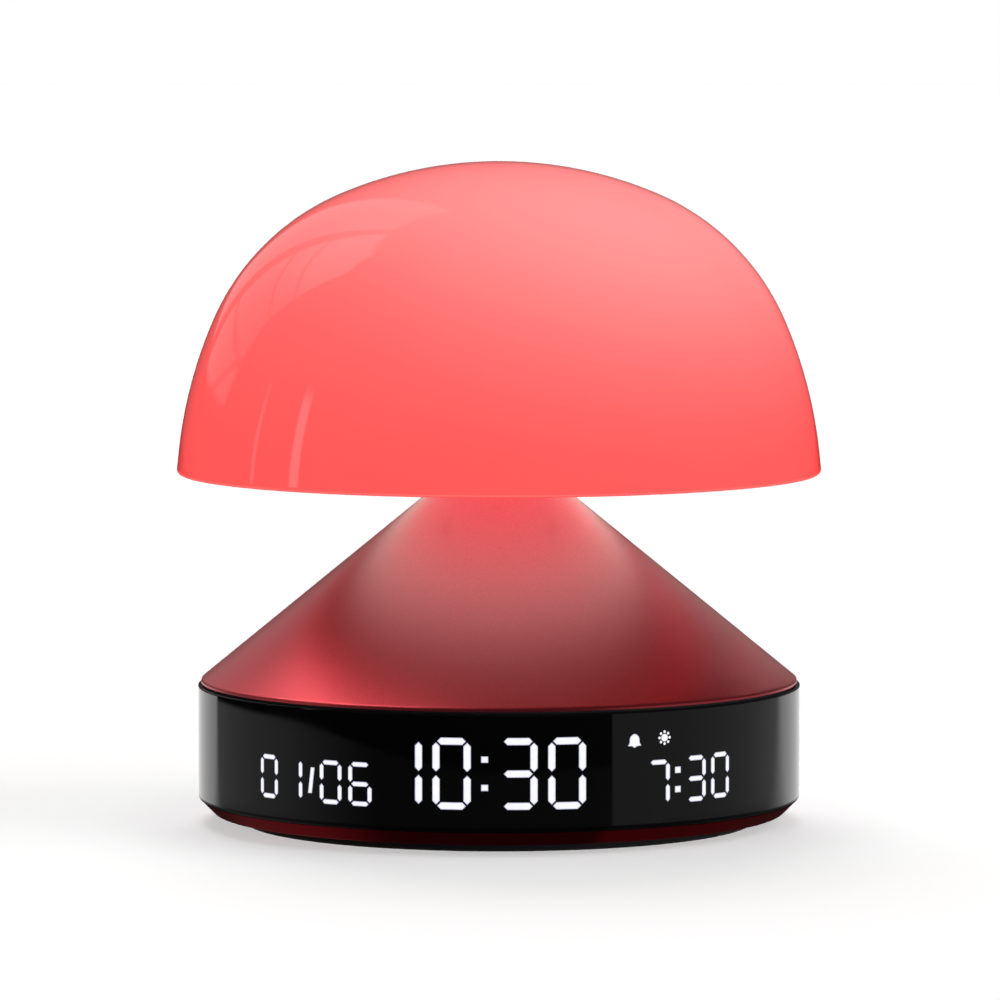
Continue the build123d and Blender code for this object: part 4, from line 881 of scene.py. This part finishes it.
# %% Finishes by slot
finishes.update({
    "foot_rubber": moulded("foot_rubber_matt", (0.006, 0.006, 0.006), (0.014, 0.014, 0.014), 0.86, 0.4, 0.03),
    "black_plastic": moulded("black_plastic_grained", (0.010, 0.010, 0.011), (0.022, 0.022, 0.024), 0.52),
    "white_plastic": moulded("white_plastic_satin", (0.70, 0.69, 0.66), (0.78, 0.77, 0.75), 0.38, 0.3, 0.006),
    "reflector": moulded("reflector_white", (0.80, 0.80, 0.80), (0.88, 0.88, 0.88), 0.30, 0.4, 0.004),
    "light_pipe": moulded("light_pipe_milky", (0.58, 0.60, 0.64), (0.72, 0.74, 0.78), 0.22, 0.5, 0.004),
    "circuit_board": board("circuit_board_green", (0.012, 0.085, 0.035), (0.020, 0.15, 0.055)),
    "chip": moulded("chip_epoxy", (0.012, 0.012, 0.013), (0.028, 0.028, 0.030), 0.60, 0.15, 0.01, 3.0),
    "connector": moulded("connector_nylon", (0.62, 0.58, 0.46), (0.74, 0.70, 0.58), 0.45, 0.2, 0.008),
    "led": moulded("led_phosphor", (0.80, 0.62, 0.08), (0.92, 0.76, 0.14), 0.35, 0.2, 0.01, 1.0),
    "steel": turned("steel_brushed", (0.42, 0.42, 0.43), (0.62, 0.62, 0.63), 0.30),
    "spring_steel": turned("spring_steel_drawn", (0.30, 0.30, 0.32), (0.52, 0.52, 0.54), 0.26, 0.2),
    "aluminium": turned("aluminium_turned", (0.66, 0.67, 0.69), (0.84, 0.85, 0.86), 0.28, 0.5),
    "brass": turned("brass_turned", (0.55, 0.36, 0.12), (0.78, 0.56, 0.22), 0.26, 0.3),
    "wire": moulded("wire_sleeve", (0.34, 0.014, 0.012), (0.46, 0.026, 0.022), 0.42, 0.2, 0.006, 4.0),
    "cell": moulded("cell_sleeve", (0.020, 0.10, 0.30), (0.034, 0.15, 0.40), 0.24, 1.2, 0.02, 9.0),
    "paper": moulded("paper_cone", (0.040, 0.038, 0.036), (0.10, 0.096, 0.090), 0.82, 0.35, 0.05, 2.0),
    "foam": moulded("foam_gasket", (0.030, 0.030, 0.032), (0.075, 0.075, 0.078), 0.95, 0.5, 0.15, 3.0),
    "key_black": moulded("key_soft_black", (0.009, 0.009, 0.01), (0.018, 0.018, 0.019), 0.46, 0.18, 0.008, 5.0)})

for name, node in nodes.items():
    slot_name = node.material_slots[0].name.split(".")[0] if node.material_slots else None
    if slot_name in finishes:
        node.material_slots[0].material = finishes[slot_name]
    else:
        print("no finish yet:", name, slot_name)
print("Finished by slot:", len(nodes), "nodes with", len(finishes), "finishes")

# %% [markdown]
# The studio. The floor is a pale sheet under an even sky. The sky shows white to the camera and in mirrors,
# but lights the object only weakly, or every shadow would vanish. The floor is darker for the light that it
# throws back up than it looks, which keeps the underside of the object deep, and its colour keeps the shadow.

# %% Floor and sky
SKY_LIGHT, FLOOR_LIFT, FLOOR_SIDE = 0.14, 0.11, 12


def floor_material():
    paper = Finish("pale_floor")
    tooth = paper.noise(1.2, 2.0)
    straight = paper.seen_straight()
    pale = paper.blend(tooth, (0.94, 0.94, 0.94), (0.96, 0.96, 0.96))
    colour = paper.blend(straight, (0.35, 0.35, 0.35), pale)
    sheet = paper.node("ShaderNodeBsdfDiffuse", None, {"Color": colour})
    strength = straight * FLOOR_LIFT
    lift = paper.node("ShaderNodeEmission", None, {"Color": (1.0, 1.0, 1.0), "Strength": strength})
    return paper.surface(paper.node("ShaderNodeAddShader", None, {0: sheet, 1: lift}))


floor = fresh(bpy.ops.mesh.primitive_plane_add, size=1)
floor.name = "floor"
bpy.ops.object.mode_set(mode="EDIT")
bpy.ops.mesh.select_all(action="SELECT")
bpy.ops.transform.resize(value=(FLOOR_SIDE, FLOOR_SIDE, 1))
bpy.ops.mesh.subdivide(number_cuts=3)
bpy.ops.object.mode_set(mode="OBJECT")
floor.data.materials.append(floor_material())

sky = Finish("studio_sky", bpy.data.worlds)
even, white = [sky.node("ShaderNodeBackground", None, {"Color": (1, 1, 1), "Strength": level})
               for level in (SKY_LIGHT, 1.0)]
choice = sky.node("ShaderNodeMixShader", None, {0: sky.seen_straight(), 1: even, 2: white})
scene.world = sky.surface(choice, "ShaderNodeOutputWorld")

# %% [markdown]
# Four lamps. A broad soft one from above and behind makes the shadow on the floor, and a broader one from the
# front right, the key, brightens the dome's right shoulder and casts none, so that the white sheet stays
# clean. Two flagged lamps fall on the metal cone alone: one glints along its lip at the left, one on its
# right side. A studio does that with flags round a lamp, and here light linking is the flag.

# %% Lamps
OVERHEAD, SIDE_KEY, LIP_GLINT, SIDE_GLINT = 0.34, 0.89, 0.23, 0.026


def sun_lamp(name, direction, level, angle, shadow):
    """A distant soft lamp; a level of 1 lights a facing white card to full white."""
    lamp = fresh(bpy.ops.object.light_add, type="SUN", location=direction)
    lamp.name = name
    lamp.data.energy = level * pi
    lamp.data.angle = radians(angle)
    lamp.data.use_shadow = shadow
    lamp.rotation_euler = lamp.location.to_track_quat("Z", "Y").to_euler()
    lamp.visible_glossy = False
    print("Lamp:", name, "level", level)
    return lamp


sun_lamp("overhead_soft_light", (-0.10, 0.60, 0.79), OVERHEAD, 36, True)
sun_lamp("side_key", (0.75, -0.26, 0.60), SIDE_KEY, 50, False)

flagged = bpy.data.collections.new("lit_by_glints")
flagged.objects.link(cone)
for name, towards, level, angle, shadow in (
        ("lip_glint", (-0.54, 0.05, 0.84), LIP_GLINT, 48, True),
        ("side_glint", (0.34, 0.84, 0.42), SIDE_GLINT, 36, False)):
    glint = sun_lamp(name, towards, level, angle, shadow)
    glint.visible_glossy = True
    glint.data.cycles.use_multiple_importance_sampling = False      # or the tent swallows part of the glint
    glint.light_linking.receiver_collection = flagged


# %% [markdown]
# Gloss shows what stands round it, so a studio hangs cloth round a glossy object and lets in light where a
# highlight should be. This tent is a sphere that only mirror rays see, so it shapes the gloss and adds no
# light. Its cloth is written by compass bearing and height in degrees: bearing 0 is the front, and positive
# bearings lie to the right. A window with slats stands at the back left, two thin lit gaps further forward,
# and a faint card at the back right.

# %% Reflection tent
def bearing_of(cloth):
    """Compass bearing of a stage piece's surface in degrees, seen from the object's axis."""
    x, y = cloth.axis("X"), cloth.axis("Y")
    return cloth.math("ARCTAN2", x, y * -1.0) * (180 / pi)


def mirror_light(cloth, level):
    """Ends a stage material that gives its light to mirror rays only."""
    mirrored = cloth.node("ShaderNodeLightPath", output="Is Glossy Ray")
    inputs = {"Color": (1.0, 1.0, 1.0), "Strength": level * mirrored}
    return cloth.surface(cloth.node("ShaderNodeEmission", None, inputs))


WINDOW_POST = (-153.8, -148.8)      # the dark post between the window's two panes, as bearings at its foot
SLATS = ((-0.54, 82.4), (0.0, 16.7), (0.23, 0.9), (0.27, 5.7))      # (slope, height at bearing 0) of each slat
GAPS = (      # (start, end, softness, height, fade, level) of each thin lit gap
    (-98.3, -96.5, 0.4, 18.0, 4.0, 0.8), (-79.0, -75.0, 0.6, 22.0, 3.0, 1.7))


def tent_material():
    cloth = Finish("studio_tent")
    bearing = bearing_of(cloth)
    rise = cloth.math("ARCTAN2", cloth.axis("Z"), cloth.radius()) * (180 / pi)
    top = 59.0 - bearing.smooth(-116.0, -104.0) * 7.0
    foot = 8.0 + bearing.smooth(-150.0, -120.0) * 2.6
    window = bearing.smooth(-167.2, -164.8) * (1 - (bearing - rise * 0.4).smooth(-127.4, -125.0))
    window = window * (rise - foot).smooth(-0.8, 0.8) * (1 - (rise - top).smooth(-1.5, 1.5))
    leaning = bearing + (rise - 8.0) * -0.26
    window = window * (1 - between(leaning, *WINDOW_POST, 0.7) * 0.8)
    near_pane = leaning.smooth(-151.0, -149.0)
    for slope, height in SLATS:
        slat = between(rise + bearing * slope, height - 0.7, height + 0.7, 0.5)
        window = window * (1 - slat * near_pane * 0.55)
    brightness = 0.36 + bearing.smooth(-158.0, -128.0) * rise.smooth(25.0, 50.0) * 0.5
    card = between(bearing, 146.0, 174.0, 10.0) * between(rise, 8.0, 26.0, 8.0) * 0.14
    light = window * brightness + card + 0.06
    for start, end, softness, height, fade, level in GAPS:
        light = light + between(bearing, start, end, softness) * between(rise, 1.0, height, fade) * level
    return mirror_light(cloth, light)


def only_mirrored(piece):
    """Keeps a stage piece out of every ray but mirror rays."""
    piece.visible_camera = False
    piece.visible_diffuse = False
    piece.visible_shadow = False
    piece.visible_transmission = False


tent = fresh(bpy.ops.mesh.primitive_uv_sphere_add, segments=48, ring_count=24, radius=2.5)
tent.name = "studio_tent"
tent.data.materials.append(tent_material())
only_mirrored(tent)


# %% [markdown]
# The ground sheet lies round the foot, and only mirror rays see it. The gloss band reflects nothing but the
# ground, because the camera looks slightly down and the band is upright. So the sheet is black in front, as
# if a black flag stood there, grey at the sides, and white behind. Beyond a certain reach on the left it is
# black too: that is where the lit table ends.

# %% Ground sheet
def ground_material():
    sheet = Finish("ground_sheet")
    x, y = sheet.axis("X"), sheet.axis("Y")
    reach = sheet.radius()

    def past(bearing):
        """How far, in mm, a ground point lies past the line that the band mirrors at a bearing on it."""
        turn = radians(bearing)
        return x * cos(2 * turn) + y * sin(2 * turn) + BAND_R * sin(turn)

    # the sides: grey to the right of the flag's edge, and a slow fade from black to grey at the left
    flag_edge = past(21.7).smooth(-2.0, 2.0)
    right = flag_edge * (0.37 + past(32.0).smooth(0.0, 160.0) * 0.06)
    left_from, left_full = past(-22.0) * -1.0, past(-47.0)
    fade = (left_from / (abs(left_from) + abs(left_full))).smooth(0.0, 1.0)
    left = fade * 0.42
    table = 1 - (reach - (238.0 + (bearing_of(sheet) * -1.0).smooth(4.0, 84.0) * 84.0)).smooth(-8.0, 8.0)
    sides = (left + (1 - fade) * 0.06) * table * (1 - flag_edge) + right
    # near the foot the object shades the ground, least at the left
    low_left = (1 - x.smooth(-50.0, -15.0)) * 0.14
    near = 0.10 + low_left + reach.smooth(70.0, 130.0) * (0.90 - low_left)
    # behind the object the ground is white
    behind_right = x.smooth(-2.0, 2.0) * past(67.5).smooth(-18.0, 18.0) * y.smooth(-40.0, -22.0)
    behind_left = (1 - x.smooth(-2.0, 2.0)) * (1 - past(-68.5).smooth(-7.0, 7.0)) * y.smooth(-36.0, -18.0)
    behind = behind_left + behind_right
    level = sides * near * (1 - behind) + behind * (0.02 + reach.smooth(72.0, 96.0) * 1.08)
    return mirror_light(sheet, 0.012 + level * (1 - reach.smooth(360.0, 430.0)))


SHEET_Z, SHEET_RINGS = 0.3, (59.5, 300.0, 2490.0)
ground = drawn("ground_sheet", [(ring, SHEET_Z) for ring in SHEET_RINGS])
work_on(ground, "EDIT")
bpy.ops.mesh.select_all(action="SELECT")
bpy.ops.mesh.spin(steps=72, angle=2 * pi, center=(0, 0, 0), axis=(0, 0, 1))
weld()
bpy.ops.object.mode_set(mode="OBJECT")
ground.data.materials.append(ground_material())
only_mirrored(ground)
